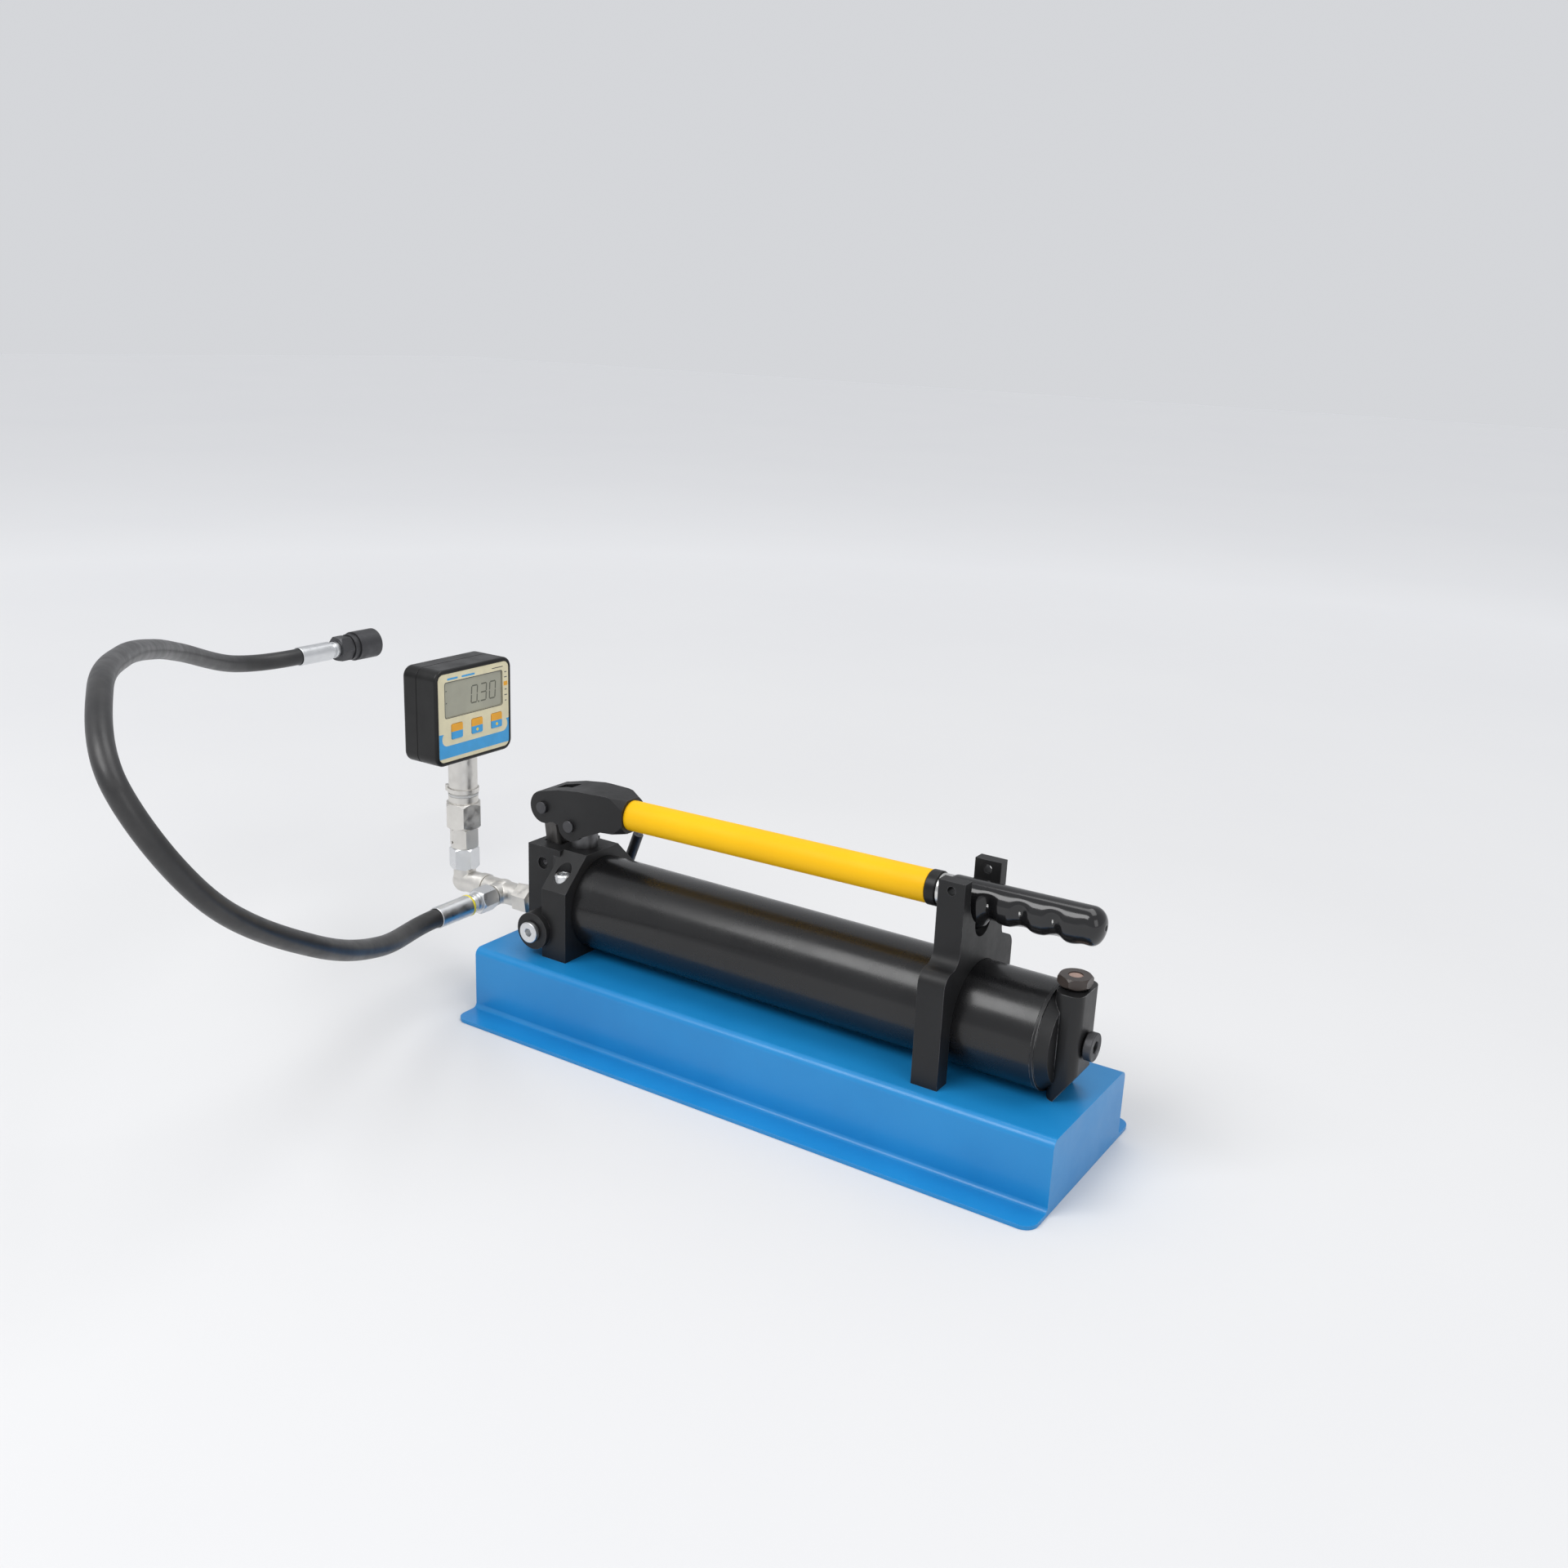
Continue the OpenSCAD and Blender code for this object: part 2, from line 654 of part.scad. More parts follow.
// A headed pin through the fork, with a retaining washer riveted on its far end
module lever_pin(x, z) {
    rod_y(pin_r, -fork_half - 3, fork_half + 3, x, z);
    rod_y(pin_r + 1.4, fork_half + 0.1, fork_half + 1.4, x, z);
}

module fulcrum_pin() color("#2a2b2e") lever_pin(fulcrum_x, fulcrum_z);

module piston_pin() color("#2a2b2e") lever_pin(piston_x, piston_pin_z);

// Outline of the lever head seen from the side
module lever_side() {
    translate([fulcrum_x, fulcrum_z]) circle(r = 13.2);
    translate([piston_x, piston_pin_z]) circle(r = 12.6);
    polygon([
        [fulcrum_x - 2, fulcrum_z - 12.8], [fulcrum_x + 10, fulcrum_z - 10.6],
        [piston_x - 12, piston_pin_z - 2], [piston_x, piston_pin_z - 12.4],
        [piston_x + 13, piston_pin_z - 6.6], [socket_x - 20, piston_pin_z + 0.6],
        [socket_x, piston_pin_z + 1.6], [socket_x, piston_pin_z + 28.6],
        [socket_x - 16, piston_pin_z + 30.6], [piston_x + 8, piston_pin_z + 30],
        [piston_x - 12, piston_pin_z + 27.4], [fulcrum_x - 2, fulcrum_z + 13]]);
}

// Outline of the lever head seen from above
module lever_plan() {
    side = [[fulcrum_x - 20, fork_half], [piston_x + 14, fork_half],
        [socket_x - 12, 14.6], [socket_x, 13.8]];
    polygon(concat(side, [for (i = [3 : -1 : 0]) [side[i][0], -side[i][1]]]));
}

module fork_slot() {
    half = fork_half - ear_t;
    across_y(2 * half) union() {
        translate([piston_x, piston_pin_z]) circle(r = piston_r + 0.6);
        polygon([[fulcrum_x - 30, piston_pin_z - 30], [piston_x + piston_r + 0.6, piston_pin_z - 30],
            [piston_x + piston_r + 0.6, piston_pin_z], [piston_x, piston_pin_z + piston_r + 0.6],
            [fulcrum_x + 6, fulcrum_z + 9.8], [fulcrum_x - 30, fulcrum_z + 9.8]]);
    }
}

// The socket's end is turned round; further in, the cone lies clear of the fork
module lever_cone() handle_frame() {
    cone_len = 36;
    translate([socket_x - cone_len, 0, 0]) rotate([0, 90, 0])
        cylinder(r1 = 34, r2 = handle_r + 2.4, h = cone_len + 1);
    rod_x(34, fulcrum_x - 20, socket_x - cone_len + 1);
}

module lever_head() color("#2c2d2f") difference() {
    intersection() {
        across_y(2 * fork_half + 2) lever_side();
        translate([0, 0, piston_pin_z - 20]) linear_extrude(70) lever_plan();
        lever_cone();
    }
    fork_slot();
    translate([fulcrum_x + 4, -6, fulcrum_z]) cube([17, 12, 40]);
    rod_y(pin_r + slip, -30, 30, fulcrum_x, fulcrum_z);
    rod_y(pin_r + slip, -30, 30, piston_x, piston_pin_z);
    handle_frame() rod_x(handle_r + slip, tube_start, socket_x + 10);
}

// ---------- handle ----------

module handle_tube() color("gold") handle_frame()
    translate([tube_start + 0.2, 0, 0]) rotate([0, 90, 0])
        ring(handle_r, bar_r + slip, tube_end - tube_start - 0.2);

module handle_bar() color("silver") handle_frame() difference() {
    rod_x(bar_r, 30, grip_x1);
    rod_x(bar_r - 2.5, 29, grip_x1 + 1);
}

module handle_collar() color("#38302e") handle_frame() difference() {
    rod_x(handle_r + 0.6, tube_end + 0.2, tube_end + collar_len + 0.2);
    rod_x(bar_r + slip, tube_end - 1, tube_end + 20);
}

module handle_ring() color("#d8d8d8") handle_frame() difference() {
    rod_x(handle_r - 0.5, tube_end + collar_len + 0.4, grip_x0 - stack_gap);
    rod_x(bar_r + slip, tube_end, tube_end + 20);
}

module handle_grip() color("#141416") handle_frame() difference() {
    union() {
        rod_x(grip_d / 2, grip_x0, grip_x1);
        rod_x(9, grip_x0 + 14, grip_x1, 0, -5);
        translate([grip_x1, 0, 0]) sphere(r = grip_d / 2);
        translate([grip_x0 + 21.5, 0, -11.8]) sphere(r = 11);
        for (i = [0 : 2]) translate([grip_x0 + 42 + i * finger_pitch, 0, -5])
            sphere(r = 10.8);
    }
    rod_x(bar_r + slip, grip_x0 - 1, grip_x1 + 0.5);
}

// ---------- handle bracket ----------

// Legs beside the tube, drawn in to the ears by one convex and one hollow curve
module bracket_outline() {
    knee_r = 10;
    neck_z = head_z;
    neck_r = bracket_half - knee_r - ear_outer;
    translate([-bracket_half, deck_z]) square([2 * bracket_half, neck_z - knee_r - deck_z]);
    translate([knee_r - bracket_half, deck_z])
        square([2 * (bracket_half - knee_r), neck_z - deck_z]);
    translate([-ear_outer, deck_z]) square([2 * ear_outer, ear_h]);
    for (s = [-1, 1]) translate([s * (bracket_half - knee_r), 0]) {
        translate([0, neck_z - knee_r]) circle(r = knee_r);
        difference() {
            translate([s > 0 ? -neck_r - 1 : 0, neck_z - 1]) square([neck_r + 1, neck_r + 1]);
            translate([0, neck_z + neck_r]) circle(r = neck_r);
        }
    }
}

// A round-bottomed slot, open upwards
module slot_up(r, z) {
    translate([0, z + r]) circle(r = r);
    translate([-r, z + r]) square([2 * r, ear_h]);
}

// The arch over the tube
module tube_gate() {
    r = tube_d / 2 + 0.2;
    translate([0, tube_z]) circle(r = r);
    translate([-r, deck_z - 1]) square([2 * r, tube_z - deck_z + 1]);
}

module handle_bracket() color("#242527") difference() {
    along_x(bracket_x0, bracket_x0 + bracket_t) difference() {
        bracket_outline();
        tube_gate();
        slot_up(ear_inner, notch_z);
    }
    along_x(bracket_x0 + web_t, bracket_x0 + bracket_t + 1) slot_up(pocket_r, pocket_z);
    rod_y(ear_hole_d / 2, -ear_outer - 1, ear_outer + 1, bracket_x, ear_hole_z);
    tapped_holes(BRACKET_SCREWS);
}

// ---------- rear cap ----------

module cap_blank() {
    rim = 2.5;
    rod_x(spigot_r, tube_x1 - spigot_len, tube_x1 + 1, 0, tube_z);
    rod_x(tube_d / 2, tube_x1, tube_x1 + rim, 0, tube_z);
    translate([tube_x1 + rim - 0.5, 0, tube_z]) rotate([0, 90, 0])
        cylinder(r1 = tube_d / 2 - 1.2, r2 = tube_d / 2 - 7, h = cap_t - rim + 0.5);
    difference() {
        translate([(tube_x1 + 4 + boss_x1) / 2, 0, deck_z]) linear_extrude(cap_top - deck_z)
            rounded_rect(boss_x1 - tube_x1 - 4, 2 * port_boss_half, 8);
        across_y(80) polygon([[tube_x1 + 11, deck_z - 1], [boss_x1 + 1, deck_z - 1],
            [boss_x1 + 1, boss_z0 + 1], [boss_x1, boss_z0], [tube_x1 + 11, deck_z]]);
    }
}

module rear_cap() color("#262628") difference() {
    cap_blank();
    o_ring_groove(tube_x1 - o_ring_in);
    rod_x(tie_r + slip, tube_x1 - spigot_len - 1, boss_x1 + 1, 0, tube_z);
    rod_x(port_r + slip, boss_x1 - 4, boss_x1 + 1, 0, tube_z);
    rod_z(port_r + slip, tube_z + 12, cap_top + 1, port_x);
    rod_x(way_r, tube_x1 - spigot_len - 1, port_x, 0, tube_z + 18);
}

module tie_rod() color("silver") difference() {
    rod_x(tie_r, tube_x0 - 7, boss_x1 - 4.5, 0, tube_z);
    rod_x(4 + slip, boss_x1 - 30, boss_x1, 0, tube_z);
}

module tie_screw() color("#2b2c2e") difference() {
    union() {
        rod_x(10, boss_x1 + 1.1, boss_x1 + 7, 0, tube_z);
        rod_x(port_r, boss_x1 - 3.5, boss_x1 + 2, 0, tube_z);
        rod_x(4, boss_x1 - 26, boss_x1, 0, tube_z);
    }
    hex_x(8, boss_x1 + 2, boss_x1 + 9, 0, tube_z);
}

module filler_plug() color("#3d342f") translate([port_x, 0, 0]) difference() {
    union() {
        translate([0, 0, cap_top + 1.6]) rotate(30) nut_blank(filler_af, 7, 1.8);
        rod_z(port_r, cap_top - 12, cap_top + 2);
    }
    rod_z(5, cap_top + 6.1, cap_top + 9);
    rod_z(1.2, cap_top - 13, cap_top + 7);
}

module filler_seal() color("#1b1b1b") translate([port_x, 0, cap_top + 0.05]) ring(9.4, 7.1, 1.5);

module breather_disc() color("#b59a8e") translate([port_x, 0, cap_top + 6.15])
    cylinder(r = 4.9, h = 1.6);

// ---------- outlet fittings ----------

module outlet_adapter() color("silver") difference() {
    union() {
        hex_x(small_af, block_x0 - 32, block_x0 - 17, 0, outlet_z, 8);
        rod_x(8.2, block_x0 - 17.5, block_x0 - stack_gap, 0, outlet_z);
        rod_x(port_r, block_x0 - 1, block_x0 + port_len - stack_gap, 0, outlet_z);
        rod_x(port_r, block_x0 - 40, block_x0 - 31, 0, outlet_z);
    }
    rod_x(way_r, block_x0 - 41, block_x0 + 11, 0, outlet_z);
}

module tee_fitting() color("silver") difference() {
    union() {
        rod_x(9.6, tee_x - 18, tee_x + 18.9, 0, outlet_z);
        rod_y(9.2, -13, 0, tee_x, outlet_z);
        rod_y(port_r, -26, 0, tee_x, outlet_z);
        translate([tee_x, 0, outlet_z]) sphere(r = 10.6);
    }
    rod_x(port_r + slip, tee_x + 10, tee_x + 20, 0, outlet_z);
    rod_x(port_r + slip, tee_x - 20, tee_x - 10, 0, outlet_z);
    rod_x(way_r, tee_x - 11, tee_x + 11, 0, outlet_z);
    rod_y(way_r, -27, 0, tee_x, outlet_z);
}

module elbow_fitting() color("silver") difference() {
    union() {
        rod_x(port_r, tee_x - 20, tee_x - 10.1, 0, outlet_z);
        rod_x(10.6, tee_x - 24, tee_x - 18.1, 0, outlet_z);
        rod_x(9.6, gauge_x, tee_x - 22, 0, outlet_z);
        translate([gauge_x, 0, outlet_z]) sphere(r = 10.4);
        rod_z(9.4, outlet_z, nut_z0 - stack_gap, gauge_x);
        rod_z(port_r, outlet_z, nut_z0 + 9, gauge_x);
    }
    rod_x(way_r, gauge_x, tee_x - 9, 0, outlet_z);
    rod_z(way_r, outlet_z, nut_z0 + 10, gauge_x);
}

module elbow_nut() color("silver") difference() {
    translate([gauge_x, 0, nut_z0]) rotate(38) nut_blank(small_af, elbow_nut_h);
    rod_z(port_r + slip, nut_z0 - 1, snubber_z + 0.4, gauge_x);
}

// Carries the pressure snubber and a small bleed hole
module snubber_nut() color("silver") translate([gauge_x, 0, snubber_z]) difference() {
    union() {
        rotate(22) nut_blank(small_af, snubber_h);
        rod_z(port_r, -9, 1);
        rod_z(port_r, snubber_h - 1, snubber_h + 7);
    }
    rod_z(2, -10, snubber_h + 8);
    rotate([0, 0, -100]) rod_x(1.3, 8, 14, 0, 6);
}

module gauge_nut() color("silver") translate([gauge_x, 0, gauge_nut_z]) difference() {
    union() {
        rotate(14) nut_blank(gauge_nut_af, gauge_nut_h, 2.4);
        rod_z(12.4, gauge_nut_h - 4, gauge_nut_h + gauge_collar_h);
    }
    rod_z(port_r + slip, -1, 9);
    rod_z(way_r, 8, 16);
    rod_z(port_r + slip, 15, gauge_nut_h + gauge_collar_h + 1);
}

module gauge_seal() color("white") translate([gauge_x, 0, gauge_seal_z])
    ring(12.6, port_r + 0.2, gauge_seal_h);

module rotate_about_stem(angle) translate([gauge_x, 0, 0]) rotate(angle) children();

module gauge_stem() color("silver") difference() {
    union() {
        rod_z(12, stem_z0, gauge_z0 - stack_gap, gauge_x);
        rod_z(port_r, stem_z0 - 12, stem_z0 + 1, gauge_x);
        rod_z(stem_neck_r, gauge_z0 - 1, gauge_z0 + 10, gauge_x);
        rod_z(13.2, stem_z0 + 1, stem_z0 + 4.4, gauge_x);
        rotate_about_stem(-148) rod_z(2.6, stem_z0 + 1, stem_z0 + 6, 12.4);
    }
    rod_z(2, stem_z0 - 13, stem_z0 + 30, gauge_x);
}

// ---------- gauge ----------

// The case outline in Y and Z
module case_outline(inset = 0) translate([0, gauge_z0 + gauge_h / 2])
    rounded_rect(gauge_w - 2 * inset, gauge_h - 2 * inset, case_r - inset);

module gauge_rear_case() color("#1d1d1f") difference() {
    along_x(gauge_back, case_split - 0.05) case_outline();
    along_x(gauge_back + case_t, case_split + 1) case_outline(case_t);
    rod_z(stem_neck_r + 0.2, gauge_z0 - 1, gauge_z0 + case_t + 1, gauge_x);
}

module gauge_front_case() color("#232325") difference() {
    union() {
        difference() {
            along_x(case_split + 0.05, gauge_front) case_outline();
            along_x(case_split - 1, gauge_front - 5) case_outline(case_t);
        }
        board_posts();
    }
    along_x(gauge_front - 1.5, gauge_front + 1) case_outline(film_inset - 0.1);
    along_x(gauge_front - 6, gauge_front + 1)
        translate([0, lcd_z]) square([lcd_w, lcd_h], center = true);
    for (i = [-1, 0, 1]) along_x(gauge_front - 6, gauge_front + 1)
        translate([key_y + i * key_pitch, key_z]) circle(r = 3.1);
    rod_z(stem_neck_r + 0.2, gauge_z0 - 1, gauge_z0 + case_t + 1, gauge_x);
}

module board_posts() for (y = [-1, 1]) for (z = [-1, 1])
    rod_x(3, board_x + 0.02, gauge_front - 4, y * (gauge_w / 2 - 6), gauge_z0 + gauge_h / 2 + z * 24);

module gauge_faceplate() color("#dacda0") difference() {
    along_x(gauge_front - 1.4, gauge_front - 0.4) case_outline(film_inset);
    along_x(gauge_front - 6, gauge_front + 1)
        translate([0, lcd_z]) square([lcd_w, lcd_h], center = true);
    for (i = [-1, 0, 1]) along_x(gauge_front - 6, gauge_front + 1)
        translate([key_y + i * key_pitch, key_z])
            square([key_w + 0.6, key_h + 0.6], center = true);
}

module display_panel() color("#9aa08a") along_x(board_x + 0.02, gauge_front - 1.2)
    translate([0, lcd_z]) square([lcd_w - 0.4, lcd_h - 0.4], center = true);

module circuit_board() color("darkgreen") along_x(board_x - 1.6, board_x)
    translate([0, gauge_z0 + gauge_h / 2]) square([gauge_w - 6, gauge_h - 22], center = true);

module gauge_key(y) color("orange") union() {
    along_x(gauge_front - 1, gauge_front + 0.5)
        translate([y, key_z]) square([key_w, key_h], center = true);
    rod_x(3, gauge_front - 8.7, gauge_front - 0.9, y, key_z);
}

module key_left() gauge_key(key_y - key_pitch);

module key_middle() gauge_key(key_y);

module key_right() gauge_key(key_y + key_pitch);

// ---------- hose ----------

// A point of a Catmull-Rom curve between b and c
function curve_point(a, b, c, d, t) = 0.5 * (2 * b + (c - a) * t
    + (2 * a - 5 * b + 4 * c - d) * t * t + (3 * b - a - 3 * c + d) * t * t * t);

// A point beyond an end of the hose, placed so that the curve leaves the end along Y
function mirrored(end, next) = [next[0], 2 * end[1] - next[1], next[2]];

hose_ends = concat([mirrored(HOSE_WAY[0], HOSE_WAY[1])], HOSE_WAY,
    [mirrored(hose_end, HOSE_WAY[len(HOSE_WAY) - 2])]);

function hose_line() = concat(
    [HOSE_WAY[0] + [0, 30, 0]],
    [for (i = [1 : len(hose_ends) - 3]) for (j = [0 : hose_steps - 1])
        curve_point(hose_ends[i - 1], hose_ends[i], hose_ends[i + 1], hose_ends[i + 2],
            j / hose_steps)],
    [hose_end, hose_end + [0, 34, 0]]);

function unit(v) = v / norm(v);

function tangent(line, i) = unit(line[min(i + 1, len(line) - 1)] - line[max(i - 1, 0)]);

// Side direction carried along the line without twisting
function carry(side, dir) = unit(side - dir * (side * dir));

function sides_of(line, i = 0, side = [0, 0, 1], done = []) = i == len(line) ? done
    : let (s = carry(side, tangent(line, i)))
        sides_of(line, i + 1, s, concat(done, [s]));

function tube_points(line, r, n) = let (s = sides_of(line))
    [for (i = [0 : len(line) - 1]) let (t = tangent(line, i), v = cross(t, s[i]))
        for (k = [0 : n - 1]) line[i] + r * (cos(360 * k / n) * s[i] + sin(360 * k / n) * v)];

function tube_faces(m, n) = concat(
    [[for (k = [n - 1 : -1 : 0]) k]],
    [for (i = [0 : m - 2]) for (k = [0 : n - 1]) let (a = i * n + k, b = i * n + (k + 1) % n)
        each [[a, b, b + n], [a, b + n, a + n]]],
    [[for (k = [0 : n - 1]) (m - 1) * n + k]]);

module swept_tube(line, r, n) polyhedron(points = tube_points(line, r, n),
    faces = [for (f = tube_faces(len(line), n)) [for (k = [len(f) - 1 : -1 : 0]) f[k]]]);

module hose() color("#1a1a1c") difference() {
    line = hose_line();
    last = line[len(line) - 1];
    swept_tube(line, hose_d / 2, hose_sides);
    swept_tube(concat([line[0] + [0, 1, 0]], line, [last + [0, 1, 0]]), hose_bore / 2, 12);
}

module hose_nut() color("silver") difference() {
    translate([tee_x, -32, outlet_z]) rotate([-90, 0, 0]) rotate(10) nut_blank(19, 16.8);
    rod_y(port_r + slip, -33, -13, tee_x, outlet_z);
}

// A crimped ferrule whose collar ends at the origin; the hose enters it from -Y
module ferrule() difference() {
    union() {
        rod_y(6, -9.9, -4);
        rod_y(7.8, -5, 0);
        rod_y(ferrule_d / 2, -45.5, -9);
    }
    difference() {
        rod_y(hose_d / 2 + 0.1, -46, -12);
        rod_y(hose_bore / 2 - 0.2, -40, -11);
    }
    rod_y(2, -41, 1);
}

module hose_ferrules() color("silver")
    for (p = [[tee_x, -32.1, outlet_z], hose_end + hose_tail]) translate(p) ferrule();

module hose_coupler() color("#3b3c40") translate(hose_end + hose_tail)
    difference() {
        union() {
            translate([0, stack_gap, 0]) rotate([-90, 0, 0]) nut_blank(22, 14);
            rod_y(12.5, 14, 24);
            rod_y(14, 20, 46);
        }
        rod_y(2.5, -1, 30);
        rod_y(socket_d / 2, 26, 47);
    }

// ---------- assembly ----------

base_tray();
base_screws();
base_washers();
pump_head();
reservoir_tube();
tube_seals();
rear_cap();
tie_rod();
tie_screw();
bonded_seals();
filler_plug();
filler_seal();
breather_disc();
suction_tube();
suction_strainer();
inlet_seat();
inlet_ball();
inlet_spring();
outlet_ball();
outlet_spring();
relief_ball();
relief_spring();
relief_screw();
side_plug();
piston();
piston_seal();
guide_ring();
fulcrum_link();
link_pin();
fulcrum_pin();
piston_pin();
lever_head();
handle_tube();
handle_bar();
handle_collar();
handle_ring();
handle_grip();
handle_bracket();
release_spindle();
release_lever();
outlet_adapter();
tee_fitting();
elbow_fitting();
elbow_nut();
snubber_nut();
gauge_nut();
gauge_seal();
gauge_stem();
gauge_rear_case();
gauge_front_case();
gauge_faceplate();
display_panel();
circuit_board();
key_left();
key_middle();
key_right();
hose_nut();
hose_ferrules();
hose();
hose_coupler();
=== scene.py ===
"""Looks of the hydraulic hand pump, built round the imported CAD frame.

CAD nodes whose shape is right keep it and get softened edges and a material. The hose, the grip, the
gauge's case and its face are rebuilt here with more detail. All lengths are in metres.
"""

import json
import math

import bmesh
import bpy
from mathutils import Matrix, Vector
from mathutils.geometry import tessellate_polygon


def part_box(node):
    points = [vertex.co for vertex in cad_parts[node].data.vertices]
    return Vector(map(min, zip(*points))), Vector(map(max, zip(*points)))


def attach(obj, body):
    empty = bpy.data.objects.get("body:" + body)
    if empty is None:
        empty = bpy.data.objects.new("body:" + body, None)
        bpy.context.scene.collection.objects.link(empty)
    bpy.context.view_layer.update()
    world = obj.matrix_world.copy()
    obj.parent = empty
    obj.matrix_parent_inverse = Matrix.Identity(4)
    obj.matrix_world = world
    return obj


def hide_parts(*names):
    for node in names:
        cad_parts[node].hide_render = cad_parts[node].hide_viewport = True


MM = 0.001
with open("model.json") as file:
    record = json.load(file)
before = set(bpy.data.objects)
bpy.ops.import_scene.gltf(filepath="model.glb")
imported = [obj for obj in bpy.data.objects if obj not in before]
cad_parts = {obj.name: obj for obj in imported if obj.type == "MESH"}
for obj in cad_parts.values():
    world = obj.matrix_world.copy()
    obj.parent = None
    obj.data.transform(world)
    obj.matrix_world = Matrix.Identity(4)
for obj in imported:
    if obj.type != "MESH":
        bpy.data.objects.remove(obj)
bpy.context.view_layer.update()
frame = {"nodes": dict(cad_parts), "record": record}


def mid(node):
    """Middle of a CAD node's box."""
    lo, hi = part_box(node)
    return (Vector(lo) + Vector(hi)) / 2


# ---------- material helpers ----------


class Shader:
    """A node material under construction, with short calls for the nodes it needs."""

    def __init__(self, name):
        self.material = bpy.data.materials.new(name)
        self.material.use_nodes = True
        self.tree = self.material.node_tree
        self.bsdf = self.tree.nodes["Principled BSDF"]
        self.coords = self.tree.nodes.new("ShaderNodeTexCoord")

    def link(self, a, b):
        self.tree.links.new(a, b)

    def put(self, target, value):
        """Feeds a socket with another socket's output or a plain value."""
        if isinstance(value, bpy.types.NodeSocket):
            self.link(value, target)
        elif target.type == "RGBA" and len(value) == 3:
            target.default_value = (*value, 1.0)
        else:
            target.default_value = value

    def place(self, scale=(1, 1, 1), source="Object"):
        node = self.tree.nodes.new("ShaderNodeMapping")
        node.inputs["Scale"].default_value = scale
        self.link(self.coords.outputs[source], node.inputs["Vector"])
        return node.outputs["Vector"]

    def noise(self, scale, detail=4.0, rough=0.55, stretch=(1, 1, 1)):
        node = self.tree.nodes.new("ShaderNodeTexNoise")
        node.inputs["Scale"].default_value = scale
        node.inputs["Detail"].default_value = detail
        node.inputs["Roughness"].default_value = rough
        self.link(self.place(stretch), node.inputs["Vector"])
        return node.outputs["Fac"]

    def wave(self, scale, axis, source, stretch, distort):
        node = self.tree.nodes.new("ShaderNodeTexWave")
        node.wave_type = "BANDS"
        node.bands_direction = axis
        node.inputs["Scale"].default_value = scale
        node.inputs["Distortion"].default_value = distort
        self.link(self.place(stretch, source), node.inputs["Vector"])
        return node.outputs["Fac"]

    def remap(self, value, a, b, to_a=0.0, to_b=1.0):
        node = self.tree.nodes.new("ShaderNodeMapRange")
        self.put(node.inputs["Value"], value)
        for name, number in (("From Min", a), ("From Max", b), ("To Min", to_a), ("To Max", to_b)):
            node.inputs[name].default_value = number
        return node.outputs["Result"]

    def maths(self, kind, a, b=0.0):
        node = self.tree.nodes.new("ShaderNodeMath")
        node.operation = kind
        self.put(node.inputs[0], a)
        self.put(node.inputs[1], b)
        return node.outputs["Value"]

    def mix(self, factor, a, b):
        node = self.tree.nodes.new("ShaderNodeMix")
        node.data_type = "RGBA"
        self.put(node.inputs["Factor"], factor)
        colour_in = [s for s in node.inputs if s.type == "RGBA"]
        self.put(colour_in[0], a)
        self.put(colour_in[1], b)
        return [s for s in node.outputs if s.type == "RGBA"][0]

    def edges(self, radius):
        """1 on sharp convex or concave edges, 0 on flat ground."""
        bevel = self.tree.nodes.new("ShaderNodeBevel")
        bevel.samples = 4
        bevel.inputs["Radius"].default_value = radius
        geometry = self.tree.nodes.new("ShaderNodeNewGeometry")
        dot = self.tree.nodes.new("ShaderNodeVectorMath")
        dot.operation = "DOT_PRODUCT"
        self.link(bevel.outputs["Normal"], dot.inputs[0])
        self.link(geometry.outputs["Normal"], dot.inputs[1])
        return self.remap(dot.outputs["Value"], 0.99, 0.80)

    def bump(self, height, strength, distance=0.0005, normal=None):
        node = self.tree.nodes.new("ShaderNodeBump")
        node.inputs["Strength"].default_value = strength
        node.inputs["Distance"].default_value = distance
        self.link(height, node.inputs["Height"])
        if normal is not None:
            self.link(normal, node.inputs["Normal"])
        return node.outputs["Normal"]

    def finish(self, colour, rough, metal=0.0, normal=None, coat=0.0, coat_rough=0.15, spec=0.5):
        put = self.put
        put(self.bsdf.inputs["Base Color"], colour)
        put(self.bsdf.inputs["Roughness"], rough)
        put(self.bsdf.inputs["Metallic"], metal)
        put(self.bsdf.inputs["Coat Weight"], coat)
        put(self.bsdf.inputs["Coat Roughness"], coat_rough)
        put(self.bsdf.inputs["Specular IOR Level"], spec)
        if normal is not None:
            self.link(normal, self.bsdf.inputs["Normal"])
        return self.material


